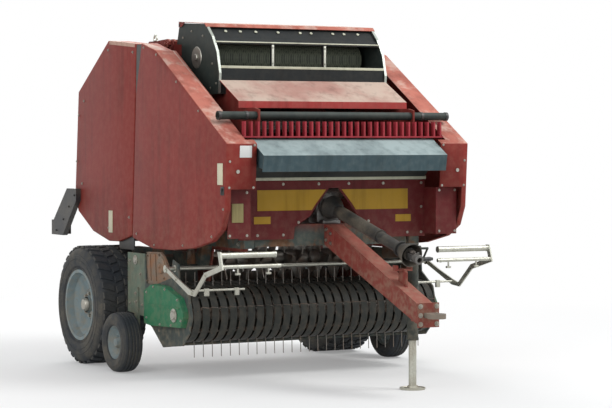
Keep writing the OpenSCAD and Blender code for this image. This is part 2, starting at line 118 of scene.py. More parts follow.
def cross_rod(bm, x, z, y0, y1, r, sides):
    rod(bm, at(x, y0, z), at(x, y1, z), r, sides)


def post(bm, x, y, z0, z1, r, sides):
    rod(bm, at(x, y, z0), at(x, y, z1), r, sides)


def pin(bm, centre, way, reach, r, sides):
    """A rod that reaches so many metres to both sides of its centre."""
    rod(bm, centre - way * reach, centre + way * reach, r, sides)


def turned(bm, profile, centre, axis, steps=48):
    """A solid of revolution from radii and places along the axis."""
    axis = Vector(axis).normalized()
    side = axis.orthogonal().normalized()
    verts = [bm.verts.new(centre + axis * (t / 1000) + side * (r / 1000)) for r, t in profile]
    edges = [bm.edges.new(ends) for ends in zip(verts, verts[1:])]
    bmesh.ops.spin(bm, geom=verts + edges, cent=centre, axis=axis, dvec=(0, 0, 0), angle=2 * math.pi,
                   steps=steps, use_merge=True)


def thicken(bm, face, thickness):
    """Draws a face out towards the left by so many millimetres."""
    moved = only_verts(bmesh.ops.extrude_face_region(bm, geom=[face])["geom"])
    bmesh.ops.translate(bm, vec=(0, thickness / 1000, 0), verts=moved)


def plate(bm, outline, y0, y1):
    """A flat plate with its outline in X and Z."""
    thicken(bm, bm.faces.new([bm.verts.new(at(x, y0, z)) for x, z in outline]), y1 - y0)


def hex_bolt(bm, place, out, head, tall, washer=True):
    out = Vector(out).normalized()
    if washer:
        rod(bm, place, place + out * 0.002, head * 0.78)
    rod(bm, place + out * 0.001, place + out * (tall / 1000), head * 0.575, 6)
    rod(bm, place + out * (tall / 1000), place + out * ((tall + 3) / 1000), head * 0.3, 10)


def side_bolts(bm, y, spots, head, tall, out=LEFT):
    """Bolts on a face across Y, from their X and Z."""
    for x, z in spots:
        hex_bolt(bm, at(x, y, z), out, head, tall)


def front_bolts(bm, x, spots, head, tall, out=AHEAD):
    """Bolts on a face across X, from their Y and Z."""
    for y, z in spots:
        hex_bolt(bm, at(x, y, z), out, head, tall)


def bolt_circle(bm, centre, r, count, start, out, head, tall, washer=False):
    """Bolts on a circle of radius r around an axis along X or Y."""
    across = Vector((abs(out[1]), abs(out[0]), 0))
    for i in range(count):
        a = start + 2 * math.pi * i / count
        spot = centre + (across * math.cos(a) + Vector(UP) * math.sin(a)) * (r / 1000)
        hex_bolt(bm, spot, out, head, tall, washer)


def tube_along(bm, points, r, sides):
    """A wire through the points, with one ring of corners at each."""
    rings = []
    side = None
    for i, p in enumerate(points):
        ahead = (points[min(i + 1, len(points) - 1)] - points[max(i - 1, 0)]).normalized()
        side = (side - ahead * side.dot(ahead) if rings else ahead.orthogonal()).normalized()
        ring = bmesh.ops.create_circle(bm, cap_ends=False, segments=sides, radius=r / 1000)["verts"]
        bmesh.ops.transform(bm, matrix=turned_to(p, side, ahead.cross(side), ahead), verts=ring)
        rings.append([e for e in {e for v in ring for e in v.link_edges} if all(v in ring for v in e.verts)])
    bmesh.ops.contextual_create(bm, geom=rings[0])
    bmesh.ops.contextual_create(bm, geom=rings[-1])
    for one, two in zip(rings, rings[1:]):
        bmesh.ops.bridge_loops(bm, edges=one + two)


def flip(bm, sign):
    """Takes a mesh to the right side where the sign is negative."""
    if sign < 0:
        bmesh.ops.scale(bm, vec=(1, -1, 1), verts=bm.verts)


def mirrored(bm):
    """Copies what was made so far to the machine's other side."""
    copy = bmesh.ops.duplicate(bm, geom=bm.verts[:] + bm.edges[:] + bm.faces[:])["geom"]
    bmesh.ops.scale(bm, vec=(1, -1, 1), verts=only_verts(copy))


def clean(bm):
    bmesh.ops.remove_doubles(bm, verts=bm.verts, dist=WELD)
    bmesh.ops.recalc_face_normals(bm, faces=bm.faces)


def link_piece(name, bm, material, body, replaces, sharp=32, thickness=0.0):
    """Makes a piece of a mesh; an open surface is given its thickness."""
    mesh = bpy.data.meshes.new(name)
    bm.to_mesh(mesh)
    bm.free()
    mesh.shade_smooth()
    mesh.set_sharp_from_angle(angle=math.radians(sharp))
    piece = bpy.data.objects.new(name, mesh)
    bpy.context.scene.collection.objects.link(piece)
    mesh.materials.append(material)
    if thickness:
        skin = piece.modifiers.new("sheet", "SOLIDIFY")
        skin.thickness = thickness
        skin.offset = -1
        skin.use_even_offset = True
    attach(piece, body)
    if replaces:
        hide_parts(replaces)


@contextmanager
def new_piece(name, material, body, slot, replaces=None, both=False, sign=1, sharp=32):
    """Gives a mesh to model on and makes a piece of it, on both sides of the machine if asked."""
    bm = bmesh.new()
    yield bm
    if both:
        mirrored(bm)
    flip(bm, sign)
    clean(bm)
    link_piece(name, bm, material, body, replaces, sharp)


def finish_sheet(name, bm, material, body, replaces=None, sign=1, thickness=0.004):
    """Makes a piece of an open surface at the sheet's outer face."""
    flip(bm, sign)
    clean(bm)
    widest = max(bm.faces, key=lambda face: face.calc_area())
    if widest.normal.y * sign < 0:
        bmesh.ops.reverse_faces(bm, faces=bm.faces)
    link_piece(name, bm, material, body, replaces, thickness=thickness)


# Shader tools

BUMP_DEPTH = 0.001
DRY_SOIL = (0.33, 0.27, 0.19, 1)
FIELD_SOIL = (0.3, 0.25, 0.18)


class Graph:
    """Makes and joins the shader nodes of one tree."""

    def __init__(self, tree):
        self.nodes, self.links = tree.nodes, tree.links

    def feed(self, sockets, values):
        """Links outputs to the sockets, or sets their numbers and colours."""
        for key, value in values.items():
            if isinstance(value, (int, float, tuple)):
                sockets[key].default_value = value
            else:
                self.links.new(value, sockets[key])

    def add(self, kind, values=None, **settings):
        node = self.nodes.new(kind)
        for key, value in settings.items():
            setattr(node, key, value)
        self.feed(node.inputs, values or {})
        return node

    def coordinates(self, kind="Object"):
        return self.add("ShaderNodeTexCoord").outputs[kind]

    def part_of(self, vector, axis):
        return self.add("ShaderNodeSeparateXYZ", {0: vector}).outputs[axis]

    def noise(self, vector, scale, detail, rough, stretch=None):
        if stretch:
            vector = self.add("ShaderNodeMapping", {"Vector": vector, "Scale": stretch}).outputs["Vector"]
        values = {"Vector": vector, "Scale": scale, "Detail": detail, "Roughness": rough}
        return self.add("ShaderNodeTexNoise", values).outputs["Fac"]

    def ramp(self, value, low, high, to_low=0.0, to_high=1.0):
        values = {"Value": value, "From Min": low, "From Max": high, "To Min": to_low, "To Max": to_high}
        return self.add("ShaderNodeMapRange", values, interpolation_type="SMOOTHSTEP").outputs["Result"]

    def times(self, a, b, operation="MULTIPLY"):
        return self.add("ShaderNodeMath", {0: a, 1: b}, operation=operation,
                        use_clamp=operation != "SUBTRACT").outputs[0]

    def mixed(self, factor, a, b):
        return self.add("ShaderNodeMix", {0: factor, 6: a, 7: b}, data_type="RGBA").outputs[2]

    def edge_mask(self, radius):
        bent = self.add("ShaderNodeBevel", {"Radius": radius}, samples=4).outputs["Normal"]
        flat = self.add("ShaderNodeNewGeometry").outputs["Normal"]
        same = self.add("ShaderNodeVectorMath", {0: bent, 1: flat}, operation="DOT_PRODUCT").outputs["Value"]
        return self.ramp(same, 0.985, 0.86)

    def bump(self, shader, height, strength):
        values = {"Height": height, "Strength": strength, "Distance": BUMP_DEPTH}
        self.links.new(self.add("ShaderNodeBump", values).outputs["Normal"], shader.inputs["Normal"])


def new_group(name, inputs, outputs):
    """A node group with its named inputs, their first values, and its named outputs."""
    group = bpy.data.node_groups.new(name, "ShaderNodeTree")
    for label, value in inputs.items():
        kind = "NodeSocketColor" if isinstance(value, tuple) else "NodeSocketFloat"
        group.interface.new_socket(name=label, in_out="INPUT", socket_type=kind).default_value = value
    for label in outputs:
        kind = "NodeSocketColor" if label == "Color" else "NodeSocketFloat"
        group.interface.new_socket(name=label, in_out="OUTPUT", socket_type=kind)
    g = Graph(group)
    return group, g, g.add("NodeGroupInput").outputs, g.add("NodeGroupOutput").inputs


def make_weathered_paint():
    group, g, given, out = new_group(
        "weathered paint",
        {"Paint": (0.3, 0.05, 0.04, 1), "Faded And Lit": (0.6, 0.3, 0.27, 1), "Fade": 0.6, "Dust": 0.4, "Wear": 0.4,
         "Gloss Loss": 0.0, "Bleach": 0.0},
        ("Color", "Roughness", "Height"))
    spot = g.coordinates()
    up = g.part_of(g.coordinates("Normal"), "Z")
    cloud = g.noise(spot, 2.2, 6, 0.6)
    mottle = g.noise(spot, 19.0, 5, 0.6)
    grit = g.noise(spot, 240.0, 3, 0.6)
    # Sun takes the colour out of what faces up, and the same mask paints faces that look up lighter as
    # painted sunlight
    sun_fade_and_light = g.times(g.ramp(up, 0.15, 0.8), g.ramp(cloud, 0.3, 0.62, 0.55, 1.0))
    haze = g.ramp(mottle, 0.35, 0.75, 0.0, 0.05)
    # The fade amount sets both the real fading and the painted sunlight on upward faces
    fade_and_light = g.times(g.times(sun_fade_and_light, haze, "ADD"), given["Fade"])
    color = g.mixed(fade_and_light, given["Paint"], given["Faded And Lit"])
    # Flat tops have bleached to cream, slopes in patches
    cream = g.mixed(0.6, given["Faded And Lit"], (0.72, 0.66, 0.56, 1))
    flat_top = g.times(g.ramp(up, 0.93, 0.99), g.ramp(cloud, 0.3, 0.6, 0.5, 1.0))
    patches = g.times(g.ramp(up, 0.4, 0.8), g.ramp(g.noise(spot, 3.6, 7, 0.7), 0.47, 0.62, 0.0, 0.7))
    bleach = g.times(g.times(flat_top, patches, "MAXIMUM"), given["Bleach"])
    color = g.mixed(bleach, color, cream)
    # Broad clouds of tone, and dirt washed down the sides
    washed = g.noise(spot, 9.0, 6, 0.62, stretch=(1.7, 1.7, 0.13))
    shade = g.times(g.ramp(cloud, 0.25, 0.75, 0.86, 1.1), g.ramp(washed, 0.45, 0.72, 1.0, 0.76))
    color = g.add("ShaderNodeHueSaturation", {"Color": color, "Value": shade}).outputs["Color"]
    # Rain runs leave pale lines down the sides
    streak = g.noise(spot, 5.0, 5, 0.65, stretch=(6.0, 6.0, 0.55))
    color = g.mixed(g.times(g.ramp(streak, 0.56, 0.78), 0.08), color, given["Faded And Lit"])
    # Dust lies low down and in patches
    low = g.ramp(g.part_of(spot, "Z"), 1.35, 0.25, 0.16, 1.0)
    film = g.times(g.times(low, g.ramp(mottle, 0.38, 0.68, 0.25, 1.0)), given["Dust"])
    color = g.mixed(film, color, DRY_SOIL)
    # Rust along worn edges and in chips
    worn = g.times(g.times(g.edge_mask(0.005), g.ramp(mottle, 0.48, 0.6)), given["Wear"])
    color = g.mixed(worn, color, (0.16, 0.075, 0.04, 1))
    chips = g.times(g.ramp(g.noise(spot, 46.0, 2, 0.5), 0.72, 0.76), g.times(given["Wear"], low))
    color = g.mixed(chips, color, (0.2, 0.1, 0.06, 1))
    rough = g.times(g.ramp(grit, 0.3, 0.7, 0.44, 0.56), given["Gloss Loss"], "ADD")
    rough = g.times(rough, g.times(g.times(fade_and_light, film, "ADD"), 0.3), "ADD")
    height = g.times(g.times(grit, 0.35), g.times(mottle, 0.65), "ADD")
    g.feed(out, {"Color": color, "Roughness": rough, "Height": height})
    return group


def make_worn_metal():
    group, g, given, out = new_group(
        "worn metal",
        {"Metal": (0.4, 0.4, 0.38, 1), "Rust": (0.18, 0.08, 0.04, 1), "Rusting": 0.4, "Dust": 0.3},
        ("Color", "Roughness", "Metallic", "Height"))
    spot = g.coordinates()
    patch = g.noise(spot, 7.0, 7, 0.65)
    grain = g.noise(spot, 150.0, 4, 0.6)
    rust = g.times(g.ramp(patch, 0.42, 0.66), given["Rusting"])
    color = g.mixed(g.ramp(grain, 0.3, 0.7, 0.0, 0.35), given["Metal"], (0.12, 0.12, 0.115, 1))
    color = g.mixed(rust, color, given["Rust"])
    low = g.ramp(g.part_of(spot, "Z"), 1.1, 0.2, 0.2, 1.0)
    film = g.times(g.times(low, g.ramp(patch, 0.3, 0.6, 0.3, 1.0)), given["Dust"])
    covered = g.times(rust, film, "ADD")
    rough = g.times(g.ramp(grain, 0.3, 0.7, 0.34, 0.5), g.times(covered, 0.4), "ADD")
    g.feed(out, {"Color": g.mixed(film, color, DRY_SOIL), "Roughness": rough,
                 "Metallic": g.times(1.0, covered, "SUBTRACT"), "Height": g.times(grain, patch, "ADD")})
    return group


def make_field_dust():
    group, g, given, out = new_group(
        "field dust",
        {"Base": (0.03, 0.03, 0.03, 1), "Soil": (*FIELD_SOIL, 1), "Amount": 0.5, "Roughness": 0.7},
        ("Color", "Roughness", "Height"))
    spot = g.coordinates()
    cloud = g.noise(spot, 5.0, 7, 0.65)
    fine = g.noise(spot, 130.0, 4, 0.65)
    film = g.times(g.ramp(cloud, 0.33, 0.72), g.times(g.ramp(fine, 0.3, 0.7, 0.5, 1.0), given["Amount"]))
    g.feed(out, {"Color": g.mixed(film, given["Base"], given["Soil"]),
                 "Roughness": g.times(given["Roughness"], g.times(film, 0.25), "ADD"),
                 "Height": g.times(fine, cloud, "ADD")})
    return group


WEATHERED = make_weathered_paint()
WORN_METAL = make_worn_metal()
FIELD_DUST = make_field_dust()


# Makers of materials

def new_material(name):
    material = bpy.data.materials.new(name)
    material.use_nodes = True
    g = Graph(material.node_tree)
    return material, g, g.nodes["Principled BSDF"]


def from_group(name, group, values, bump=None, outputs=("Roughness",)):
    """A material that takes its colour and the named outputs from a node group with its own values."""
    material, g, shader = new_material(name)
    node = g.add("ShaderNodeGroup", node_tree=group)
    g.feed(node.inputs, {label: (*value, 1) if isinstance(value, tuple) else value
                         for label, value in values.items()})
    g.feed(shader.inputs, {"Base Color": node.outputs["Color"]})
    g.feed(shader.inputs, {label: node.outputs[label] for label in outputs})
    if bump:
        g.bump(shader, node.outputs["Height"], bump)
    return material, g, shader, node


# The faded colour goes on upward faces: partly real fading, partly painted sunlight
def paint(name, color, faded_and_lit, fade_and_light=0.6, dust=0.4, wear=0.5, gloss_loss=0.0, coat=0.0, bleach=0.0):
    values = {"Paint": color, "Faded And Lit": faded_and_lit, "Fade": fade_and_light, "Dust": dust, "Wear": wear,
              "Gloss Loss": gloss_loss, "Bleach": bleach}
    material, g, shader, _ = from_group(name, WEATHERED, values, 0.06)
    g.feed(shader.inputs, {"Specular IOR Level": 0.18, "Coat Weight": coat, "Coat Roughness": 0.25})
    return material


def two_zone_paint(name, low_color, high_color, faded_and_lit, low, high, along="Z", rust=1.0, dust=0.6, wear=0.9):
    """Paint with one colour, rusting in patches, up to a line and another beyond it."""
    material = paint(name, high_color, faded_and_lit, fade_and_light=0.4, dust=dust, wear=wear, gloss_loss=0.15)
    g = Graph(material.node_tree)
    group = next(node for node in g.nodes if node.type == "GROUP")
    spot = g.coordinates()
    patch = g.ramp(g.noise(spot, 6.0, 6, 0.65), 0.47, 0.62, 0.0, rust)
    under = g.mixed(patch, (*low_color, 1), (0.13, 0.055, 0.025, 1))
    beyond = g.ramp(g.part_of(spot, along), low, high)
    g.feed(group.inputs, {"Paint": g.mixed(beyond, under, (*high_color, 1))})
    return material


def metal(name, color, rust=0.35, dust=0.3, bump=0.2, rust_color=(0.17, 0.075, 0.035)):
    values = {"Metal": color, "Rust": rust_color, "Rusting": rust, "Dust": dust}
    return from_group(name, WORN_METAL, values, bump, ("Roughness", "Metallic"))[0]


def dusty(name, base, soil=FIELD_SOIL, amount=0.5, rough=0.7, bump=0.2, walls=None):
    values = {"Base": base, "Soil": soil, "Amount": amount, "Roughness": rough}
    material, g, _, node = from_group(name, FIELD_DUST, values, bump)
    if walls:
        # Soil clings to a tyre's walls and is worn off its tread
        across = g.part_of(g.coordinates("Normal"), "Y")
        g.feed(node.inputs, {"Amount": g.ramp(g.times(across, across), 0.15, 0.75, amount, walls)})
    return material


def lens(name, color):
    material, g, shader, _ = from_group(name, FIELD_DUST, {"Base": color, "Amount": 0.12, "Roughness": 0.12})
    wave = g.add("ShaderNodeTexWave", {"Vector": g.coordinates(), "Scale": 60}, bands_direction="Y")
    g.bump(shader, wave.outputs["Fac"], 0.4)
    g.feed(shader.inputs, {"Coat Weight": 0.8, "Coat Roughness": 0.06})
    return material


def make_net_material():
    """Three crossing sets of threads."""
    material, g, shader = new_material("net wrap")
    spot = g.coordinates()
    net = 0.0
    for tilt in (0.0, 0.6, -0.6):
        turned_spot = g.add("ShaderNodeMapping", {"Vector": spot, "Rotation": (0, 0, tilt)}).outputs["Vector"]
        wave = g.add("ShaderNodeTexWave", {"Vector": turned_spot, "Scale": 26, "Distortion": 0.6},
                     bands_direction="Y", wave_profile="SIN")
        net = g.times(net, g.ramp(wave.outputs["Fac"], 0.6, 0.95), "ADD")
    g.feed(shader.inputs, {"Base Color": g.mixed(net, (0.05, 0.06, 0.045, 1), (0.22, 0.24, 0.17, 1)),
                           "Roughness": 0.6})
    g.bump(shader, net, 0.4)
    return material


# Finishes, in linear colour
# Cover red: the base is the side's colour in painted shade, and the faded colour on upward faces is partly
# painted sunlight
cover_red = paint("cover red", (0.215, 0.023, 0.018), (0.6, 0.21, 0.155), fade_and_light=0.85, dust=0.42, wear=0.6,
                  bleach=1.0)
frame_grey_red = two_zone_paint("frame under and over the covers", (0.05, 0.078, 0.075), (0.2, 0.022, 0.019),
                                (0.4, 0.17, 0.13), 1.0, 1.14)
frame_red = paint("frame red", (0.20, 0.024, 0.02), (0.45, 0.17, 0.13), fade_and_light=0.5, dust=0.55, wear=0.7,
                  gloss_loss=0.1)
# The front panel red is darkened as painted shade under the cap
shaded_panel_red = paint("front panel red in painted shade", (0.115, 0.012, 0.014), (0.3, 0.1, 0.09), fade_and_light=0.45, dust=0.3, wear=0.6)
slat_red = paint("slat red", (0.36, 0.035, 0.05), (0.5, 0.14, 0.13), fade_and_light=0.4, dust=0.2, wear=0.5)
# The deck's cream top is partly real bleaching and partly painted sunlight
deck_pink = paint("sun-bleached and sunlit deck", (0.42, 0.055, 0.05), (0.58, 0.45, 0.37), fade_and_light=1.0, dust=0.2, wear=0.3,
                  gloss_loss=0.15)
bleached_edge = paint("bleached paint edge", (0.5, 0.3, 0.23), (0.66, 0.52, 0.43), fade_and_light=0.8, dust=0.3,
                      wear=0.5)
box_grey = paint("net box grey", (0.026, 0.036, 0.034), (0.1, 0.12, 0.11), fade_and_light=0.45, dust=0.3, wear=0.5)
box_dark = paint("net box panel", (0.014, 0.017, 0.018), (0.035, 0.04, 0.042), fade_and_light=0.3, dust=0.2, wear=0.4)
# Hood: the dark base is painted shade on the front face, and the pale faded colour is painted sunlight on the
# top
hood_lit_top_shaded_face = paint("hood with painted light and shade", (0.045, 0.078, 0.09), (0.35, 0.43, 0.43), fade_and_light=1.0, dust=0.2, wear=0.4)
# The yellow is darkened a little as painted shade
band_yellow = paint("yellow band", (0.42, 0.245, 0.025), (0.55, 0.4, 0.15), fade_and_light=0.3, dust=0.2, wear=0.4)
khaki_plate = paint("khaki plate", (0.3, 0.25, 0.11), (0.5, 0.45, 0.28), fade_and_light=0.3, dust=0.3, wear=0.4)
cover_green = paint("green cover", (0.006, 0.15, 0.066), (0.07, 0.27, 0.16), fade_and_light=0.4, dust=0.22, wear=0.5)
# Pickup plate: pale grey-green at the back, and dark teal ahead of it as painted shade below the green cover
plate_grey_and_shade = two_zone_paint("pickup plate grey with painted shade ahead", (0.13, 0.18, 0.14), (0.035, 0.055, 0.058), (0.2, 0.25, 0.23),
                            -0.345, -0.3, along="X", rust=0.25, dust=0.4, wear=0.7)
# The rim grey is darkened partly for dirt and partly as painted shade
rim_grey = paint("rim grey", (0.2, 0.275, 0.3), (0.36, 0.42, 0.44), fade_and_light=0.4, dust=0.55, wear=0.5,
                 gloss_loss=0.1)
trim_cream = paint("cream trim", (0.55, 0.55, 0.42), (0.65, 0.66, 0.55), fade_and_light=0.4, dust=0.3, wear=0.3)
cream_plate = paint("cream reflector", (0.62, 0.57, 0.4), (0.7, 0.66, 0.5), fade_and_light=0.3, dust=0.2, wear=0.2,
                    coat=0.5)
blank_white = paint("blank white plate", (0.68, 0.68, 0.66), (0.74, 0.74, 0.7), fade_and_light=0.3, dust=0.25, wear=0.2)
# Stripper steel is made near black as painted shade under the guard
shade_dark_steel = paint("stripper steel darkened as painted shade", (0.022, 0.026, 0.025), (0.06, 0.06, 0.055), fade_and_light=0.4, dust=0.12,
                   wear=0.6)
silver_strip = metal("silver edge strip", (0.5, 0.55, 0.5), rust=0.1, dust=0.2)
zinc = metal("galvanised bars", (0.56, 0.57, 0.5), rust=0.12, dust=0.35)
bolt_zinc = metal("zinc bolts", (0.46, 0.45, 0.4), rust=0.45, dust=0.3)
worn_steel = metal("crop-worn steel", (0.25, 0.24, 0.22), rust=0.55, dust=0.35)
tine_steel = metal("spring steel", (0.2, 0.19, 0.18), rust=0.5, dust=0.25)
chain_steel = metal("oiled chain", (0.09, 0.085, 0.08), rust=0.35, dust=0.25, bump=0.3)
rusted = metal("rusted steel", (0.2, 0.15, 0.11), rust=1.0, dust=0.3, rust_color=(0.24, 0.1, 0.04))
cast = metal("cast housing", (0.14, 0.14, 0.14), rust=0.35, dust=0.5, bump=0.5)
rod_chrome = metal("cylinder rod", (0.68, 0.69, 0.7), rust=0.0, dust=0.08, bump=0.02)
tyre_rubber = dusty("tyre rubber", (0.011, 0.016, 0.022), soil=(0.18, 0.155, 0.115), amount=0.22, rough=0.75,
                    bump=0.25, walls=0.75)
black_plastic = dusty("black plastic", (0.015, 0.017, 0.02), amount=0.22, rough=0.45, bump=0.12)
guard_black = dusty("black shaft guard", (0.015, 0.016, 0.017), amount=0.4, rough=0.5)
guard_ring_black = dusty("shaft guard plastic", (0.02, 0.02, 0.02), amount=0.3, rough=0.5)
red_lens = lens("red lens", (0.35, 0.008, 0.01))
amber_lens = lens("amber lens", (0.6, 0.16, 0.01))
net_wrap = make_net_material()

NODE_FINISHES = (
    (frame_grey_red, "frame"), (frame_red, "drawbar chamber_sides"), (shaded_panel_red, "front_panel"),
    (slat_red, "slats"),
    (cover_red, "net_lid cover_left cover_right tailgate_shell tailgate_shields"), (deck_pink, "deck"),
    (box_grey, "jack cross_tube net_box_sides gate_barrel_left gate_barrel_right"),
    (box_dark, "net_box_front"), (band_yellow, "front_bands"), (hood_lit_top_shaded_face, "hood"),
    (cover_green, "pickup_covers"), (plate_grey_and_shade, "pickup_frame"),
    (rim_grey, "rim_left rim_right"), (shade_dark_steel, "strippers"), (tine_steel, "pickup_reel"),
    (worn_steel, "chamber_rollers tailgate_rollers feed_floor feed_rotor"), (cast, "hitch_eye gearbox"),
    (zinc, "jack_leg wind_guard"), (rod_chrome, "gate_rod_left gate_rod_right"), (net_wrap, "net_roll"),
    (tyre_rubber, "tyre_left tyre_right gauge_wheel_left gauge_wheel_right"), (red_lens, "lamps"),
    (black_plastic, "driveline lamp_carriers"))
for finish, names in NODE_FINISHES:
    for node_name in names.split():
        nodes[node_name].data.materials.clear()
        nodes[node_name].data.materials.append(finish)


# Wheels

# The tread's radius and the heights of its blocks are in metres
TREAD_R, TREAD_PITCHES = 0.4387, 34
# Each row of tread blocks: height, both edges across the tyre, part of the pitch, slant and start
TREAD_ROWS = ((0.016, 28, 122, 0.62, 0.03, 0.0), (0.016, 278, 372, 0.62, -0.03, 0.5),
              (0.014, 134, 194, 0.7, -0.02, 0.2), (0.014, 206, 266, 0.7, 0.02, 0.7))
TREAD_TAPER, TREAD_NARROWING = 0.86, 0.93
RIM_FACE = TYRE_IN + 296
VALVE_ANGLE = 38
GAUGE_R, GAUGE_WIDTH = 215, 160


def round_spot(centre, r, degrees, y):
    """A place on a circle around an axis across the machine."""
    a = math.radians(degrees)
    return at(centre[0] + r * math.cos(a), y, centre[1] + r * math.sin(a))


def both_walls(half, width):
    """The whole profile of a tyre from one half of it."""
    return half + [(r, width - t) for r, t in reversed(half[:-1])]


def tread_block(bm, height, y0, y1, length, slant, tilt):
    """One block of the tread, on top of the wheel, then turned to its place."""
    foot = TREAD_R - height
    made = bmesh.ops.create_cube(bm, size=1.0)["verts"]
    for v in made:
        across, outer = v.co.y, v.co.z > 0
        v.co.x = v.co.x * length * (TREAD_TAPER if outer else 1.0) + slant * across
        v.co.y = across * (y1 - y0) / 1000 * (TREAD_NARROWING if outer else 1.0)
        v.co.z = TREAD_R if outer else foot
    top = [e for e in {e for v in made for e in v.link_edges}
           if all(v.co.z > foot + height / 2 for v in e.verts)]
    softened = soften(bm, top, 2, 1)["faces"]
    made = list({v for f in softened for v in f.verts} | {v for v in made if v.is_valid})
    bmesh.ops.rotate(bm, cent=(0, 0, 0), matrix=Matrix.Rotation(tilt, 3, "Y"), verts=made)
    bmesh.ops.translate(bm, vec=at(0, (y0 + y1) / 2, WHEEL_Z), verts=made)


def main_tyre(side, sign):
    width = TYRE_OUT - TYRE_IN
    half = [(252, 30), (256, 22), (274, 14), (280, 18), (290, 7), (316, 1), (330, 1), (333, 4), (340, 4),
            (343, 1), (366, 2), (370, 6), (384, 8), (404, 17), (420, 30), (427, 46), (429, 80),
            (429, width / 2)]
    step = 2 * math.pi / TREAD_PITCHES
    with new_piece(f"main_tyre_{side}", tyre_rubber, f"wheel_{side}", "tyre_rubber", f"tyre_{side}",
                   sign=sign, sharp=28) as bm:
        turned(bm, both_walls(half, width), at(0, TYRE_IN, WHEEL_Z), LEFT, 96)
        for i in range(TREAD_PITCHES):
            for height, y0, y1, part, slant, start in TREAD_ROWS:
                tread_block(bm, height, TYRE_IN + y0, TYRE_IN + y1, TREAD_R * step * part, slant,
                            (i + start) * step)


def rim_fittings(side, sign):
    with new_piece(f"wheel_nuts_{side}", bolt_zinc, f"wheel_{side}", "zinc_steel", sign=sign) as bm:
        bolt_circle(bm, at(0, RIM_FACE, WHEEL_Z), 82, 8, 0, LEFT, 22, 16, True)
        turned(bm, [(0, 32), (26, 32), (38, 28), (46, 16), (50, 0), (58, 0), (58, -2)],
               at(0, RIM_FACE + 30, WHEEL_Z), LEFT, 32)
        rod(bm, round_spot((0, WHEEL_Z), 205, VALVE_ANGLE, RIM_FACE - 10),
            round_spot((0, WHEEL_Z), 196, VALVE_ANGLE, RIM_FACE + 40), 5, 10)


def gauge_wheel(side, sign):
    centre = at(668, 1040, GAUGE_R)
    half = [(116, 40), (119, 22), (126, 12), (150, 1), (172, 1), (176, 4), (196, 8), (208, 20), (212, 34),
            (207, 38), (207, 44), (214, 48), (214.8, 62), (208, 65), (208, 71), (214.8, 74), (214.8, 80)]
    with new_piece(f"gauge_tyre_{side}", tyre_rubber, f"gauge_{side}", "tyre_rubber", f"gauge_wheel_{side}",
                   sign=sign, sharp=28) as bm:
        turned(bm, both_walls(half, GAUGE_WIDTH), centre, LEFT, 72)
    with new_piece(f"gauge_rim_{side}", rim_grey, f"gauge_{side}", "rim_paint", sign=sign) as bm:
        turned(bm, [(0, 41), (38, 41), (44, 62), (84, 66), (96, 46), (108, 42), (118, 20), (121, 22),
                    (121, 138), (118, 140), (108, 118), (96, 100), (84, 88), (44, 92), (36, 110), (30, 134),
                    (0, 136)],
               centre, LEFT, 56)
        bolt_circle(bm, centre + Vector((0, 0.0905, 0)), 62, 5, 0, LEFT, 14, 9, True)


for side, sign in SIDES:
    main_tyre(side, sign)
    rim_fittings(side, sign)
    gauge_wheel(side, sign)


# Pickup reel with coiled spring tines

TINE_ROWS, TINE_COUNT, TINE_PITCH, BAR_RING = 4, 27, 70, 120
# Coil of a tine, in metres, with its rise from step to step
COIL_R, COIL_RISE, COIL_TURNS, COIL_STEPS = 0.0165, 0.00085, 2.25, 16


def reel_spot(r, degrees, y):
    return round_spot(REEL, r, degrees, y)


def spring_tine(bm, degrees, y):
    bar_spot = reel_spot(BAR_RING, degrees, y)
    points = []
    for i in range(COIL_STEPS + 1):
        a = math.radians(degrees) + 1.2 + i * 2 * math.pi * COIL_TURNS / COIL_STEPS
        points.append(bar_spot + Vector((COIL_R * math.cos(a), i * COIL_RISE - 0.011, COIL_R * math.sin(a))))
    knee = reel_spot(215, degrees - 2.5, y)
    tip = reel_spot(299, degrees - 7, y)
    points += [points[-1].lerp(knee, 0.35), knee, knee.lerp(tip, 0.55), tip]
    tube_along(bm, points, 2.8, 6)


def pickup_reel():
    with new_piece("tined_reel", tine_steel, "reel", "bare_steel", "pickup_reel", sharp=40) as bm:
        for row in range(TINE_ROWS):
            degrees = 20 + row * 360 / TINE_ROWS
            rod(bm, reel_spot(BAR_RING, degrees, -960), reel_spot(BAR_RING, degrees, 960), 11)
            for i in range(TINE_COUNT):
                spring_tine(bm, degrees, (i - (TINE_COUNT - 1) / 2) * TINE_PITCH)
        cross_rod(bm, *REEL, -979, 979, 38, 32)
        # Discs that carry the tine bars
        for y, out in ((-955, RIGHT), (-320, RIGHT), (320, LEFT), (955, LEFT)):
            cross_rod(bm, *REEL, y - 4, y + 4, 139, 48)
            centre = at(REEL[0], y + 4 * out[1], REEL[1])
            for start in (50, 80):
                bolt_circle(bm, centre, 90, 4, math.radians(start), out, 12, 6, True)


pickup_reel()


# Side covers and tailgate shields: bent sheet with rounded folds, then what is fixed to them

# Corners of the outline in X and Z, with how deep the edge that starts there is folded inwards
COVER_EDGE = [(485, 952, 40), (840, 886, 40), (1170, 892, 40), (1500, 920, 40), (1775, 978, 40),
              (1920, 1060, 40), (1982, 1195, 40), (1990.7, 1333, 225), (2010, 1640, 225), (1965, 1666.5, 160),
              (890, 2300, 130), (650, 2360, 40), (550, 2000, 40)]
GATE_EDGE = [(-520, 1120, 160), (-236, 975, 160), (60, 912, 160), (240, 915, 160), (470, 968, 160),
             (535, 2000, 160), (550, 2360, 160), (60, 2400, 160), (-510, 2030, 160), (-578, 1255, 160)]
FOLD_ROUND = 7
FOLD_ANGLE = 0.12
# The cover's front cap leans forward as it rises
CAP_FOOT, CAP_LEAN, CAP_TILT, CAP_STANDOFF = (1991.5, 1333), 0.0635, 3.6, 3.8


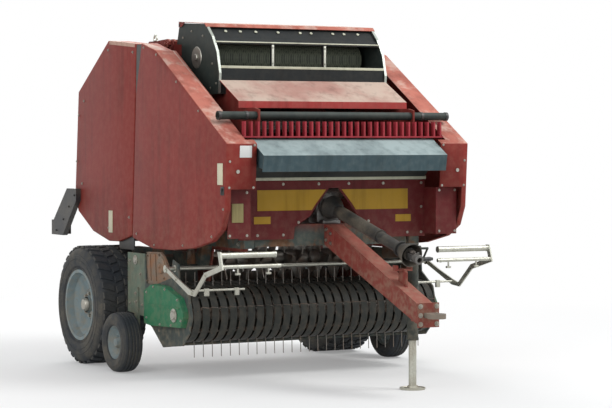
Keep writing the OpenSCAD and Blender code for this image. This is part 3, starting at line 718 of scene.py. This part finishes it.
def folded_sheet(outline):
    """A flat sheet at the cover's face with its edges folded towards the machine."""
    bm = bmesh.new()
    bm.faces.new([bm.verts.new(at(x, COVER_Y, z)) for x, z, depth in outline])
    levels = sorted({0} | {depth for x, z, depth in outline})
    for (xa, za, depth), (xb, zb, _) in zip(outline, outline[1:] + outline[:1]):
        for near, far in zip(levels, levels[1:]):
            if far <= depth:
                corners = ((xa, za, near), (xb, zb, near), (xb, zb, far), (xa, za, far))
                bm.faces.new([bm.verts.new(at(x, COVER_Y - y, z)) for x, z, y in corners])
    clean(bm)
    folds = [e for e in bm.edges if len(e.link_faces) == 2 and e.calc_face_angle() > FOLD_ANGLE]
    soften(bm, folds, FOLD_ROUND, 3)
    return bm


def hinge_lug(bm):
    rod(bm, at(745, 782, 2352), at(757, 782, 2352), 18, 32)
    bar(bm, (12, 76, 22), Matrix.Translation(at(751, 822, 2322)))
    block(bm, 745, 757, 770, 800, 2318, 2350, 1)


def cap_plate():
    """A blank plate that only the right cover's front cap has."""
    with new_piece("cap_plate", blank_white, "cover_right", "pale_paint") as bm:
        made = block(bm, 2003.5, 2006, -858, -767, 1546, 1626, 1)
        tilt = Matrix.Rotation(math.radians(CAP_TILT), 3, "Y")
        bmesh.ops.rotate(bm, cent=at(2004, -812, 1586), matrix=tilt, verts=made)
        bmesh.ops.translate(bm, vec=(CAP_STANDOFF / 1000, 0, 0), verts=bm.verts)


def side_cover(side, sign):
    body = f"cover_{side}"
    finish_sheet(f"cover_sheet_{side}", folded_sheet(COVER_EDGE), cover_red, body, body, sign)
    with new_piece(f"cover_stiffeners_{side}", frame_red, body, "red_paint", sign=sign) as bm:
        hinge_lug(bm)
        # Stiffening channels inside the sheet
        block(bm, 700, 1880, 933, 950, 1240, 1300, 4)
        block(bm, 760, 820, 925, 950, 930, 2270, 4)
    with new_piece(f"cover_bolts_{side}", bolt_zinc, body, "zinc_steel", sign=sign) as bm:
        side_bolts(bm, COVER_Y, ((560, 985), (860, 915), (1330, 932), (1780, 1010), (1955, 1200), (900, 2268),
                                 (690, 2325), (1230, 2068), (1580, 1862)), 12, 5)
    # Latch in its recess plate near the front edge
    with new_piece(f"cover_latch_{side}", black_plastic, body, "black_plastic", sign=sign) as bm:
        block(bm, 1921, 1969, COVER_Y, COVER_Y + 4, 1294, 1352, 3)
        cross_rod(bm, 1945, 1330, COVER_Y + 3, COVER_Y + 12, 11, 24)
        block(bm, 1939, 1951, COVER_Y + 8, COVER_Y + 16, 1296, 1338, 3)
    with new_piece(f"cover_reflector_{side}", cream_plate, body, "pale_paint", sign=sign) as bm:
        block(bm, 1872, 1952, COVER_Y, COVER_Y + 5, 1362, 1508, 4)
    if side == "right":
        cap_plate()
    with new_piece(f"cap_fittings_{side}", bolt_zinc, body, "zinc_steel", sign=sign) as bm:
        rod(bm, at(2001, 870, 1452), at(2006, 870, 1452), 13, 24)
        for y, z in ((748, 1345), (748, 1630), (930, 1345), (930, 1520)):
            hex_bolt(bm, at(CAP_FOOT[0] + (z - CAP_FOOT[1]) * CAP_LEAN, y, z), AHEAD, 11, 4)
    # Rubber edge that closes the gap to the tailgate
    with new_piece(f"cover_seal_{side}", black_plastic, body, "black_plastic", sign=sign) as bm:
        bar_chain(bm, ((488, 975), (549, 1998), (636, 2330)), COVER_Y - 44, COVER_Y - 12, 6)
        plate(bm, [(543, 2006), (557, 2352), (652, 2352), (650, 2330), (562, 2006)], COVER_Y - 10,
              COVER_Y - 4.5)


def front_fittings():
    """A blank plate, bolts and folded edges on the front panel."""
    with new_piece("corner_plate", khaki_plate, "chassis", "yellow_paint") as bm:
        block(bm, CORNER_X, CORNER_X + 4, -880, -792, 1108, 1236, 3)
    with new_piece("front_bolts", bolt_zinc, "chassis", "zinc_steel", both=True) as bm:
        front_bolts(bm, PANEL_X, ((400, 1010), (600, 1010), (715, 1010), (715, 1360), (400, 1360),
                                  (120, 1360), (715, 1190), (280, 1095)), 13, 6)
        front_bolts(bm, CORNER_X, ((765, 1020), (765, 1310), (895, 1020), (895, 1310)), 12, 5)
        side_bolts(bm, 680, ((1665, 1100), (1735, 1100), (1700, 1340)), 18, 10)
        side_bolts(bm, 700, ((1680, 950), (1740, 1005)), 18, 10)
    # Folded lips round the notch, along the foot of the panel and under its head
    # The lips take the panel's darkened red, as painted shade
    with new_piece("front_panel_lips", shaded_panel_red, "chassis", "red_paint", both=True) as bm:
        notch = [at(1764, y, z) for y, z in ((322, 980), (312, 1066), (192, 1140), (132, 1220), (42, 1330))]
        for a, b in zip(notch, notch[1:]):
            rod(bm, a, b, 6, 12)
        block(bm, 1752, 1760, 330, 737, 980, 1000, 2)
        block(bm, 1745, 1760, -737, 737, 1372, 1385, 2)
    with new_piece("cross_tube_clamps", black_plastic, "chassis", "black_plastic") as bm:
        for y in (-905, -700, 700, 905):
            cross_rod(bm, 1790, 1830, y - 10, y + 10, 31, 32)


def gate_fittings():
    with new_piece("gate_bolts", bolt_zinc, "tailgate", "zinc_steel", both=True) as bm:
        side_bolts(bm, COVER_Y, ((-440, 1330), (-400, 1960), (60, 1010), (60, 2330), (430, 1100), (500, 2300),
                                 (-540, 1500), (-500, 1850)), 13, 6)
    with new_piece("gate_plates", cream_plate, "tailgate", "pale_paint", both=True) as bm:
        block(bm, 62, 134, COVER_Y, COVER_Y + 4, 976, 1140, 3)
    # The bleached fold along the top of the shields
    with new_piece("gate_top_edges", bleached_edge, "tailgate", "faded_paint", both=True) as bm:
        edge_bar(bm, (84, 2384), (536, 2347), COVER_Y - 1, COVER_Y + 2, 26)
    # Pressed ribs and cross channel on the back
    with new_piece("gate_back_ribs", cover_red, "tailgate", "red_paint") as bm:
        for y in (-450, -150, 150, 450):
            edge_bar(bm, (-581, 1330), (-521, 1990), y - 22, y + 22, 16)
            edge_bar(bm, (-468, 2066), (20, 2383), y - 22, y + 22, 16)
        edge_bar(bm, (-583, 1275), (-578, 1335), -600, 600, 26)
        soften(bm, bm.edges[:], 5, 2)
    with new_piece("gate_grab_rail", zinc, "tailgate", "zinc_steel") as bm:
        for y in (-330, 330):
            rod(bm, at(-556, y, 1560), at(-612, y, 1560), 9, 14)
        cross_rod(bm, -610, 1560, -345, 345, 11, 16)
    with new_piece("gate_lifting_eyes", zinc, "tailgate", "zinc_steel") as bm:
        for y in (-560, 560):
            turned(bm, [(30, -5), (30, 5), (18, 5), (18, -5), (30, -5)], at(40, y, 2425), LEFT, 32)
            block(bm, 12, 68, y - 5, y + 5, 2396, 2412, 1)
    # Rubber flaps under the lower front corners
    with new_piece("gate_flaps", black_plastic, "tailgate", "black_plastic", both=True) as bm:
        plate(bm, [(195, 990), (466, 990), (466, 872), (452, 862), (214, 862), (200, 872)], 925, 932)


for side, sign in SIDES:
    side_cover(side, sign)
for side, sign in SIDES:
    finish_sheet(f"gate_shield_{side}", folded_sheet(GATE_EDGE), cover_red, "tailgate",
                 "tailgate_shields", sign)
gate_fittings()
front_fittings()


# Net wrap box trim

def net_box_trim():
    with new_piece("net_box_edge_strips", silver_strip, "chassis", "zinc_steel", both=True) as bm:
        bar_chain(bm, ((1333, 1990), (1348, 2130), (1308, 2282), (1233, 2393), (1134, 2483)), NET_HALF - 12,
                  NET_HALF + 6, 5)
    with new_piece("cream_trim_lines", trim_cream, "chassis", "pale_paint") as bm:
        block(bm, 1335, 1339, -662, 662, 2166, 2184, 1)
        block(bm, PANEL_X, PANEL_X + 32, -738, 738, 1386, 1410, 3)
        edge_bar(bm, (1262, 2356), (1266, 2349), -662, 662, 10)
    with new_piece("net_box_post_strips", zinc, "chassis", "zinc_steel") as bm:
        for y in (-212, 212):
            block(bm, 1262, 1266, y - 9, y + 9, 1996, 2338, 1)
            front_bolts(bm, 1266, ((y, 2040), (y, 2210), (y, 2320)), 10, 5)
    with new_piece("net_box_bolts", bolt_zinc, "chassis", "zinc_steel", both=True) as bm:
        side_bolts(bm, NET_HALF, ((760, 2400), (900, 2440), (1080, 2400), (1230, 2200), (1290, 2060),
                                  (1200, 2030)), 11, 5)
        # Spindle ends of the net roll with their brake disc
        turned(bm, [(0, 14), (20, 14), (24, 10), (24, 4), (74, 4), (78, 0)], at(980, NET_HALF, 2250), LEFT,
               40)
    with new_piece("net_box_back", box_grey, "chassis", "grey_paint") as bm:
        edge_bar(bm, (739, 2268), (739, 2505), -667, 667, 3)
        for y in (-440, 0, 440):
            edge_bar(bm, (736, 2290), (736, 2460), y - 20, y + 20, 4)
    # The baffle takes the near-black stripper steel, darkened as painted shade
    with new_piece("hood_baffle", shade_dark_steel, "chassis", "bare_steel") as bm:
        edge_bar(bm, (1772, 1384), (1899, 1492), -724, 724, 3)
    # Pale caps on the dark upper panel
    with new_piece("net_box_panel_caps", trim_cream, "chassis", "pale_paint") as bm:
        for y in (-540, -424, -300, -120, 60, 150, 330, 424, 540):
            rod(bm, at(1170, y, 2431), at(1173, y, 2434.5), 11, 20)


net_box_trim()


# Driveline: ribbed guard cones, sliding guard tubes, forked yokes with cross joints

SHAFT_REAR, SHAFT_FRONT = at(1722, 0, 1200), at(2900, 0, 880)
SHAFT = (SHAFT_FRONT - SHAFT_REAR).normalized()
SHAFT_SIDE = Vector(LEFT)
SHAFT_UP = SHAFT.cross(SHAFT_SIDE).normalized()
GUARD_WALL, GUARD_RIB = 4, 3


def past_rear(distance):
    return SHAFT_REAR + SHAFT * (distance / 1000)


def before_front(distance):
    return SHAFT_FRONT - SHAFT * (distance / 1000)


def bell(bm, start, direction, length, small, large, ribs):
    """A soft ribbed cone, open at its wide end."""
    profile = []
    for i in range(ribs * 2 + 1):
        part = i / (ribs * 2)
        profile.append((small + (large - small) * part + (GUARD_RIB if i % 2 else 0), length * part))
    inner = [(r - GUARD_WALL, t) for r, t in reversed(profile)]
    turned(bm, profile + inner + [profile[0]], start, direction, 40)


def fork(bm, centre, direction, side, reach, gap):
    """Two ears of a yoke either side of the cross."""
    third = direction.cross(side).normalized()
    for way in (-1, 1):
        ear = centre + side * (way * gap / 1000)
        bar(bm, (reach, 11, 36), turned_to(ear, direction, side, third))
        pin(bm, ear + direction * (reach / 2000), side, 0.0056, 19, 24)
        pin(bm, ear + direction * (reach / 2000), side, 0.008, 11, 20)


def cardan_joint(bm, rear, cross, front, rear_way, front_way, reach, gap, half):
    """Two forks around a cross, whose ears stand in two ways."""
    fork(bm, rear, SHAFT, rear_way, reach, gap)
    fork(bm, front, -SHAFT, front_way, reach, gap)
    for way in (rear_way, front_way):
        pin(bm, cross, way, half, 9, 16)


def driveline():
    with new_piece("driveline_guard", guard_black, "chassis", "black_plastic", "driveline") as bm:
        rod(bm, past_rear(110), past_rear(700), 44, 40)
        rod(bm, past_rear(640), before_front(130), 38, 40)
        for distance in (112, 692):
            rod(bm, past_rear(distance), past_rear(distance + 16), 47.5, 40)
        rod(bm, before_front(146), before_front(132), 42, 40)
        bell(bm, past_rear(118), -SHAFT, 98, 46, 84, 5)
        bell(bm, before_front(226), SHAFT, 126, 40, 79, 6)
    with new_piece("driveline_guard_rings", guard_ring_black, "chassis", "black_plastic") as bm:
        rod(bm, past_rear(96), past_rear(112), 52, 40)
        rod(bm, before_front(236), before_front(252), 52, 40)
    with new_piece("driveline_joints", cast, "chassis", "cast_steel") as bm:
        rod(bm, at(1716.5, 0, 1200), at(1752, 0, 1200), 29, 32)
        cardan_joint(bm, past_rear(52), past_rear(75), past_rear(98), SHAFT_SIDE, SHAFT_UP, 46, 28, 0.034)
        rod(bm, past_rear(110), past_rear(640), 26, 24)
        rod(bm, past_rear(640), before_front(140), 22, 24)
        cardan_joint(bm, before_front(118), before_front(96), before_front(76), SHAFT_UP, SHAFT_SIDE, 44, 27,
                     0.033)
        # Splined bore of the front yoke
        turned(bm, [(17.5, 0), (30, 0), (32, -3), (32, -52), (27, -58), (17.5, -58), (17.5, 0)], SHAFT_FRONT,
               SHAFT, 48)
        for i in range(6):
            a = math.pi * i / 3
            out = SHAFT_SIDE * math.cos(a) + SHAFT_UP * math.sin(a)
            tooth = turned_to(before_front(29) + out * 0.0168, SHAFT, SHAFT.cross(out).normalized(), out)
            bar(bm, (50, 5, 3), tooth)
        rod(bm, before_front(30) + SHAFT_UP * 0.028, before_front(30) + SHAFT_UP * 0.044, 7)


driveline()


# Drawbar, hitch and jack

def drawbar_fittings():
    with new_piece("drawbar_bolts", bolt_zinc, "chassis", "zinc_steel") as bm:
        hitch = [(y, z) for y in (-62, 62) for z in (472, 530, 588)]
        front_bolts(bm, 3012, hitch, 22, 13)
        front_bolts(bm, 3000, hitch, 22, 11, BEHIND)
        root = ((1775, 968), (1775, 1040), (1840, 950), (1840, 1016))
        side_bolts(bm, 60, root, 20, 12)
        side_bolts(bm, -60, root, 20, 12, RIGHT)
        side_bolts(bm, 98, [(JACK_X + x, z) for x in (-30, 30) for z in (625, 675)], 14, 8)
    with new_piece("drawbar_plates", frame_red, "chassis", "red_paint") as bm:
        # Doubling plates at the hitch and where the beam meets the frame
        for y in (-63, 60):
            block(bm, 2895, 2997, y, y + 3, 486, 584, 1)
            block(bm, 1745, 1880, y, y + 3, 938, 1040, 1)
        block(bm, 3001, 3009, -80, 80, 452, 608, 2)
        # Rest for the shaft when it is unhitched
        for y in (-58, 50):
            block(bm, 2655, 2718, y, y + 8, 812, 838, 2)


def jack_fittings():
    with new_piece("jack_collars", box_grey, "chassis", "grey_paint") as bm:
        post(bm, JACK_X, JACK_Y, 966, 976, 41, 32)
        for z, tall in ((330, 16), (592, 12), (696, 12)):
            turned(bm, [(37, 0), (41.5, 0), (41.5, tall), (37, tall), (37, 0)], at(JACK_X, JACK_Y, z), UP, 36)
        cross_rod(bm, JACK_X, 940, 168, 190, 20, 24)
    with new_piece("jack_grip", black_plastic, "chassis", "black_plastic") as bm:
        turned(bm, [(0, 0), (12, 0), (15, 6), (15, 20), (13, 30), (15, 42), (15, 62), (12, 70), (0, 70)],
               at(2543, 242, 864), LEFT, 24)
    with new_piece("jack_leg_and_foot", zinc, "jack_foot", "zinc_steel", "jack_leg") as bm:
        turned(bm, [(0, 0), (84, 0), (86, 4), (86, 14), (80, 14), (76, 9), (34, 12), (30, 26), (0, 26)],
               at(JACK_X, JACK_Y, 0), UP, 48)
        for out in (RIGHT, LEFT):
            hex_bolt(bm, at(JACK_X, JACK_Y + 30 * out[1], 20), out, 12, 8, washer=False)
        post(bm, JACK_X, JACK_Y, 20, 566, 26, 32)
        for z in range(80, 320, 40):
            pin(bm, at(JACK_X, JACK_Y, z), Vector(AHEAD), 0.0256, 5, 12)


drawbar_fittings()
jack_fittings()


# Gearbox: ribbed casting with flanged covers

def gearbox():
    x, z = GEAR
    with new_piece("gearbox_casting", cast, "chassis", "cast_steel", "gearbox") as bm:
        block(bm, 1562, 1690, -92, 92, 1084, 1298, 14)
        for rib_y in (-60, -20, 20, 60):
            block(bm, 1560, 1691, rib_y - 4, rib_y + 4, 1096, 1300, 2)
        for rib_z in (1130, 1250):
            block(bm, 1564, 1692, -95, 95, rib_z - 4, rib_z + 4, 2)
        block(bm, 1541, 1740, -70, 70, 1080, 1104, 3)
        turned(bm, [(0, 0), (78, 0), (80, 3), (80, 14), (62, 16), (60, 26), (34, 26), (32, 24), (0, 24)],
               at(1690, 0, z), AHEAD, 48)
        # Cross shaft in its tube towards the roller drive
        turned(bm, [(0, 0), (84, 0), (84, 16), (60, 20), (50, 30), (50, 512), (66, 514), (66, 516), (0, 516)],
               at(x, -92, z), RIGHT, 40)
        bolt_circle(bm, at(1704, 0, z), 70, 6, 0.3, AHEAD, 12, 7)
        bolt_circle(bm, at(x, -108, z), 73, 6, 0.3, RIGHT, 12, 7)
        hex_bolt(bm, at(1620, 30, 1298), UP, 22, 10)


gearbox()


# Pickup: side plate bolts, bearings, band screws, guard fittings

BAND_COUNT, BAND_PITCH = 28, 70


def pickup_fittings():
    with new_piece("pickup_bolts", bolt_zinc, "pickup", "zinc_steel") as bm:
        # Flanged bearings of the reel and the lift pivots
        turned(bm, [(0, 0), (46, 0), (48, 3), (48, 8), (30, 10), (27, 20), (0, 20)],
               at(REEL[0], 1031, REEL[1]), LEFT, 36)
        bolt_circle(bm, at(REEL[0], 1038, REEL[1]), 38, 4, math.pi / 4, LEFT, 11, 5)
        turned(bm, [(0, 0), (34, 0), (34, 5), (24, 6), (22, 12), (0, 13)], at(620, 991, 800), LEFT, 32)
        turned(bm, [(0, 0), (24, 0), (24, 4), (15, 5), (13, 12), (0, 13)], at(1280, 990, 770), LEFT, 28)
        side_bolts(bm, 1032, ((895, 405), (895, 585), (1120, 372), (1300, 378), (1458, 420), (1400, 560),
                              (1200, 622), (1010, 628)), 12, 6)
        side_bolts(bm, 990, ((520, 480), (520, 790), (730, 480), (700, 700), (960, 430), (1020, 320)), 13, 7)
        side_bolts(bm, 1002, ((648, 560), (652, 500), (662, 330)), 15, 9)
        mirrored(bm)
        # Screws at both ends of each stripper band
        for i in range(BAND_COUNT):
            y = (i - (BAND_COUNT - 1) / 2) * BAND_PITCH
            hex_bolt(bm, at(1090, y, 658), UP, 11, 4, washer=False)
            hex_bolt(bm, at(1112, y, 229), DOWN, 11, 4, washer=False)
    # Raised rims of the drive covers
    with new_piece("pickup_cover_rims", cover_green, "pickup", "green_paint", both=True) as bm:
        rim = [(850, 362), (960, 352), (1450, 372), (1490, 440), (1486, 480), (1420, 570), (1185, 640),
               (970, 642), (845, 592)]
        bar_chain(bm, rim + rim[:1], 990.5, 1002, 9)
        edge_bar(bm, (900, 500), (1430, 500), 1031, 1036, 14)


def pickup_drive_guards():
    """Rusted sheet over the drive, between the rear upright and the green cover."""
    with new_piece("pickup_drive_guards", rusted, "pickup", "bare_steel", both=True) as bm:
        plate(bm, [(786, 634), (786, 846), (806, 866), (1040, 872), (1098, 846), (1226, 712), (1208, 690),
                   (960, 632)], 975, 981)
        soften(bm, bm.edges[:], 1.5, 1)
        for a, b in (((806, 862), (1040, 868)), ((1040, 868), (1096, 842)), ((1096, 842), (1222, 712))):
            edge_bar(bm, a, b, 981, 990, 5)
        for x in (862, 950):
            edge_bar(bm, (x, 664), (x - 14, 850), 981, 986, 12)
        turned(bm, [(0, 0), (62, 0), (62, 3), (52, 12), (22, 14), (18, 22), (0, 22)], at(1030, 981, 780),
               LEFT, 40)
        side_bolts(bm, 981, ((806, 660), (806, 838), (1080, 690), (1000, 852), (1150, 736)), 12, 6)


def reel_back():
    """Bent sheet that closes the pickup behind the tines, with a wall on each side; a real kind of rear
    sheet, made dark as painted shade behind the tines.
    """
    bm = bmesh.new()
    path = [(1101, 642), (1086, 612), (1062, 570), (1044, 515), (1036, 450), (1041, 385), (1060, 320),
            (1084, 268), (1110, 228)]
    edges = []
    for y in (-968, 968):
        verts = [bm.verts.new(at(x, y, z)) for x, z in path]
        edges += [bm.edges.new(ends) for ends in zip(verts, verts[1:])]
    bmesh.ops.bridge_loops(bm, edges=edges)
    finish_sheet("reel_back", bm, shade_dark_steel, "pickup", thickness=0.003)
    with new_piece("reel_side_walls", shade_dark_steel, "pickup", "bare_steel", both=True) as bm:
        block(bm, 1066, 1070, 714, 974, 636, 784, 1)
        block(bm, 1050, 1070, 714, 974, 780, 784, 1)
        front_bolts(bm, 1070, ((740, 670), (740, 760), (950, 670), (950, 760)), 12, 6)


def guard_fittings():
    with new_piece("guard_collars", zinc, "wind_guard", "zinc_steel", both=True) as bm:
        for x, z, r in ((2105, 900, 22.5), (2138, 826, 15.5)):
            cross_rod(bm, x, z, 1046, 1055.5, r, 28)
            cross_rod(bm, x, z, 640, 652, r, 28)
        side_bolts(bm, 1066, ((1290, 768), (1450, 705), (1700, 625), (1905, 758)), 12, 6)
        cross_rod(bm, 1280, 770, 1056, 1070, 26, 28)
        for y in (700, 930):
            block(bm, 1640, 1662, y - 16, y + 16, 600, 652, 2)
            post(bm, 2138, y + 10, 812, 780, 6, 14)
            block(bm, 2126, 2149, y - 6, y + 26, 770, 784, 2)


pickup_fittings()
pickup_drive_guards()
reel_back()
guard_fittings()


# Tailgate cylinders, axle, lamps

def cylinder_fittings():
    reach = at(RAM_EYE[0], 0, RAM_EYE[1]) - at(RAM_BASE[0], 0, RAM_BASE[1])
    barrel = reach.length - 0.062
    along = reach.normalized()
    out = along.cross(Vector(LEFT)).normalized()
    bands = ((barrel - 0.034, barrel - 0.001, 37.5), (0.034, 0.052, 36.5), (0.1, 0.108, 35.5))
    for side, sign in SIDES:
        base = at(RAM_BASE[0], sign * 670, RAM_BASE[1])
        with new_piece(f"cylinder_bands_{side}", box_grey, f"gate_barrel_{side}", "grey_paint") as bm:
            for start, end, r in bands:
                rod(bm, base + along * start, base + along * end, r, 36)
            for port in (barrel - 0.07, 0.08):
                hex_bolt(bm, base + along * port + out * 0.032, out, 20, 14)


def axle_fittings():
    with new_piece("axle_u_bolts", bolt_zinc, "chassis", "zinc_steel", both=True) as bm:
        for y in (632, 690):
            for x in (-66, 66):
                post(bm, x, y, 372, 760, 8, 14)
                hex_bolt(bm, at(x, y, 374), DOWN, 22, 14)
            rod(bm, at(-72, y, 506), at(72, y, 506), 8, 14)
        block(bm, -90, 90, 618, 704, 366, 376, 2)


def lamp_fittings():
    """Lamp housings with a red and an amber part each."""
    lamp_starts = (851, 921)
    parts = (("red", red_lens, 0, 38, "lamps"), ("amber", amber_lens, 41, 66, None))
    for name, material, low, high, taken in parts:
        with new_piece(f"tail_{name}_lamps", material, "tailgate", "red_lens", taken, both=True) as bm:
            for y in lamp_starts:
                block(bm, -970, -960, y + low, y + high, 941, 1025, 4)
    with new_piece("lamp_backs", black_plastic, "tailgate", "black_plastic", both=True) as bm:
        for y in lamp_starts:
            block(bm, -962, -957, y - 2, y + 68, 937, 1029, 2)
        side_bolts(bm, 995, ((-500, 1240), (-610, 1150), (-720, 1050), (-860, 960)), 12, 6)


cylinder_fittings()
axle_fittings()
lamp_fittings()


# Roller bearings on both side plates, and the roller drive behind the right cover

CHAMBER, ROLLER_RING = (290, 1655), 655
FRONT_ROLLERS = (-70, -33, -10.5, 12, 34.5, 54)
REAR_ROLLERS = tuple(-97.5 - 22.5 * i for i in range(9))
TOOTH_HALF, LINK_PITCH, ARC_PITCH = 5, 25, 24


def roller_spot(degrees):
    a = math.radians(degrees)
    return CHAMBER[0] + ROLLER_RING * math.cos(a), CHAMBER[1] + ROLLER_RING * math.sin(a)


def bearings(name, angles, body):
    with new_piece(name, cast, body, "cast_steel", both=True) as bm:
        for degrees in angles:
            x, z = roller_spot(degrees)
            turned(bm, [(0, 0), (44, 0), (44, 4), (28, 6), (24, 9), (0, 9)], at(x, 622.3, z), LEFT, 28)
            bolt_circle(bm, at(x, 626, z), 36, 4, math.radians(degrees + 45), LEFT, 10, 4)


def sprocket(bm, centre, y, r):
    teeth = max(9, round(r / 4))
    made = bmesh.ops.create_circle(bm, cap_ends=True, segments=teeth * 4, radius=1.0)["verts"]
    for i, v in enumerate(made):
        reach = r + TOOTH_HALF if i % 4 in (0, 1) else r - TOOTH_HALF
        v.co = at(centre[0] + v.co.x * reach, y, centre[1] + v.co.y * reach)
    thicken(bm, made[0].link_faces[0], 8)
    cross_rod(bm, *centre, y - 6, y + 14, r * 0.4, 24)


def between(a, b, part):
    return a[0] + (b[0] - a[0]) * part, a[1] + (b[1] - a[1]) * part


def chain_loop(bm, one, r1, two, r2, y):
    """Links around two sprockets."""
    gap = math.dist(one, two)
    heading = math.atan2(two[1] - one[1], two[0] - one[0])
    lean = math.acos((r1 - r2) / gap)
    points = []
    for start, end, centre, r in ((heading + lean, heading + 2 * math.pi - lean, one, r1),
                                  (heading - lean, heading + lean, two, r2)):
        steps = max(3, int(abs(end - start) * r / ARC_PITCH))
        for i in range(steps + 1):
            a = start + (end - start) * i / steps
            points.append((centre[0] + r * math.cos(a), centre[1] + r * math.sin(a)))
    for a, b in zip(points, points[1:] + points[:1]):
        links = max(1, round(math.dist(a, b) / LINK_PITCH))
        for i in range(links):
            # Inner and outer links take turns
            half = 7 if i % 2 else 5
            start, end = between(a, b, i / links), between(a, b, (i + 0.86) / links)
            edge_bar(bm, start, end, y + 4 - half, y + 4 + half, 13)


def roller_drive():
    roller = {degrees: roller_spot(degrees) for degrees in FRONT_ROLLERS}
    runs = ((GEAR, 52, roller[-10.5], 78, 716), (roller[-10.5], 60, roller[12], 60, 738),
            (roller[12], 60, roller[34.5], 60, 716), (roller[34.5], 60, roller[54], 60, 738),
            (roller[-10.5], 60, roller[-33], 60, 760), (roller[-33], 60, roller[-70], 60, 738))
    with new_piece("roller_sprockets", worn_steel, "chassis", "bare_steel", sign=-1) as bm:
        for one, r1, two, r2, y in runs:
            sprocket(bm, one, y, r1)
            sprocket(bm, two, y, r2)
        cross_rod(bm, *GEAR, 616, 778, 21, 24)
        for spot in roller.values():
            cross_rod(bm, *spot, 612, 778, 21, 24)
    with new_piece("roller_chains", chain_steel, "chassis", "bare_steel", sign=-1) as bm:
        for one, r1, two, r2, y in runs:
            chain_loop(bm, one, r1 + 2, two, r2 + 2, y)


bearings("front_roller_bearings", FRONT_ROLLERS, "chassis")
bearings("rear_roller_bearings", REAR_ROLLERS, "tailgate")
roller_drive()


# Rusted chain case on the outside of each rail, under the covers

with new_piece("chain_cases", rusted, "chassis", "bare_steel", both=True) as bm:
    block(bm, 926, 1012, 700.5, 728, 704, 884, 8)
    turned(bm, [(0, 0), (30, 0), (30, 5), (16, 6), (14, 16), (0, 16)], at(969, 728, 800), LEFT, 32)
    side_bolts(bm, 728, ((938, 718), (1000, 718), (938, 870), (1000, 870)), 12, 6)


# Floor, light and camera

# Each light: place, aim, size in metres and power in watts
LIGHTS = {"key": ((5.0, 5.5, 8.5), (0, 0, 1.0), 5.0, 700), "fill": ((5.0, -8.5, 5.0), (0, 0, 1.0), 6.0, 300),
          "back": ((-8.0, 1.5, 6.5), (0, 0, 1.2), 5.0, 420)}
CAMERA_SPOT, CAMERA_AIM, CAMERA_LENS = (13.84, -7.49, 1.67), (0.05, 0.12, 1.2), 128


def seen(g):
    """One for rays from the camera, also by way of a shiny or clear piece, and zero for light."""
    path = g.add("ShaderNodeLightPath").outputs
    shiny = g.times(path["Is Camera Ray"], path["Is Glossy Ray"], "MAXIMUM")
    return g.times(shiny, path["Is Transmission Ray"], "MAXIMUM")


def pale_floor():
    bpy.ops.mesh.primitive_plane_add(size=60, location=(0, 0, 0))
    floor = bpy.context.object
    floor.name = "floor"
    material, g, shader = new_material("pale floor")
    g.feed(shader.inputs, {"Base Color": (0.8, 0.8, 0.79, 1), "Roughness": 0.9})
    away = g.add("ShaderNodeVectorMath", {0: g.coordinates()}, operation="LENGTH").outputs["Value"]
    factor = g.times(g.ramp(away, 2.2, 7.5, 0.25, 1.0), seen(g))
    white = g.add("ShaderNodeEmission").outputs[0]
    blend = g.add("ShaderNodeMixShader", {0: factor, 1: shader.outputs[0], 2: white})
    g.feed(g.nodes["Material Output"].inputs, {"Surface": blend.outputs[0]})
    floor.data.materials.append(material)


def studio_world():
    world = bpy.data.worlds.new("studio")
    bpy.context.scene.world = world
    world.use_nodes = True
    g = Graph(world.node_tree)
    sky = g.nodes["Background"]
    g.feed(sky.inputs, {"Color": (0.93, 0.96, 1.0, 1), "Strength": 0.55})
    white = g.add("ShaderNodeBackground", {"Color": (1, 1, 1, 1), "Strength": 1.0})
    blend = g.add("ShaderNodeMixShader", {0: seen(g), 1: sky.outputs[0], 2: white.outputs[0]})
    g.feed(g.nodes["World Output"].inputs, {"Surface": blend.outputs[0]})


def place(name, data, spot, aim):
    """Puts a light or a camera in the scene, turned to what it aims at."""
    placed = bpy.data.objects.new(name, data)
    bpy.context.scene.collection.objects.link(placed)
    placed.location = spot
    placed.rotation_euler = (Vector(aim) - Vector(spot)).to_track_quat("-Z", "Y").to_euler()
    return placed


pale_floor()
studio_world()
for name, (spot, aim, size, power) in LIGHTS.items():
    light = bpy.data.lights.new(name, "AREA")
    light.energy = power
    light.size = size
    place(name, light, spot, aim)
camera = bpy.data.cameras.new("camera")
camera.sensor_width = 36
camera.lens = CAMERA_LENS
bpy.context.scene.camera = place("camera", camera, CAMERA_SPOT, CAMERA_AIM)
bpy.context.scene.view_settings.view_transform = "Standard"
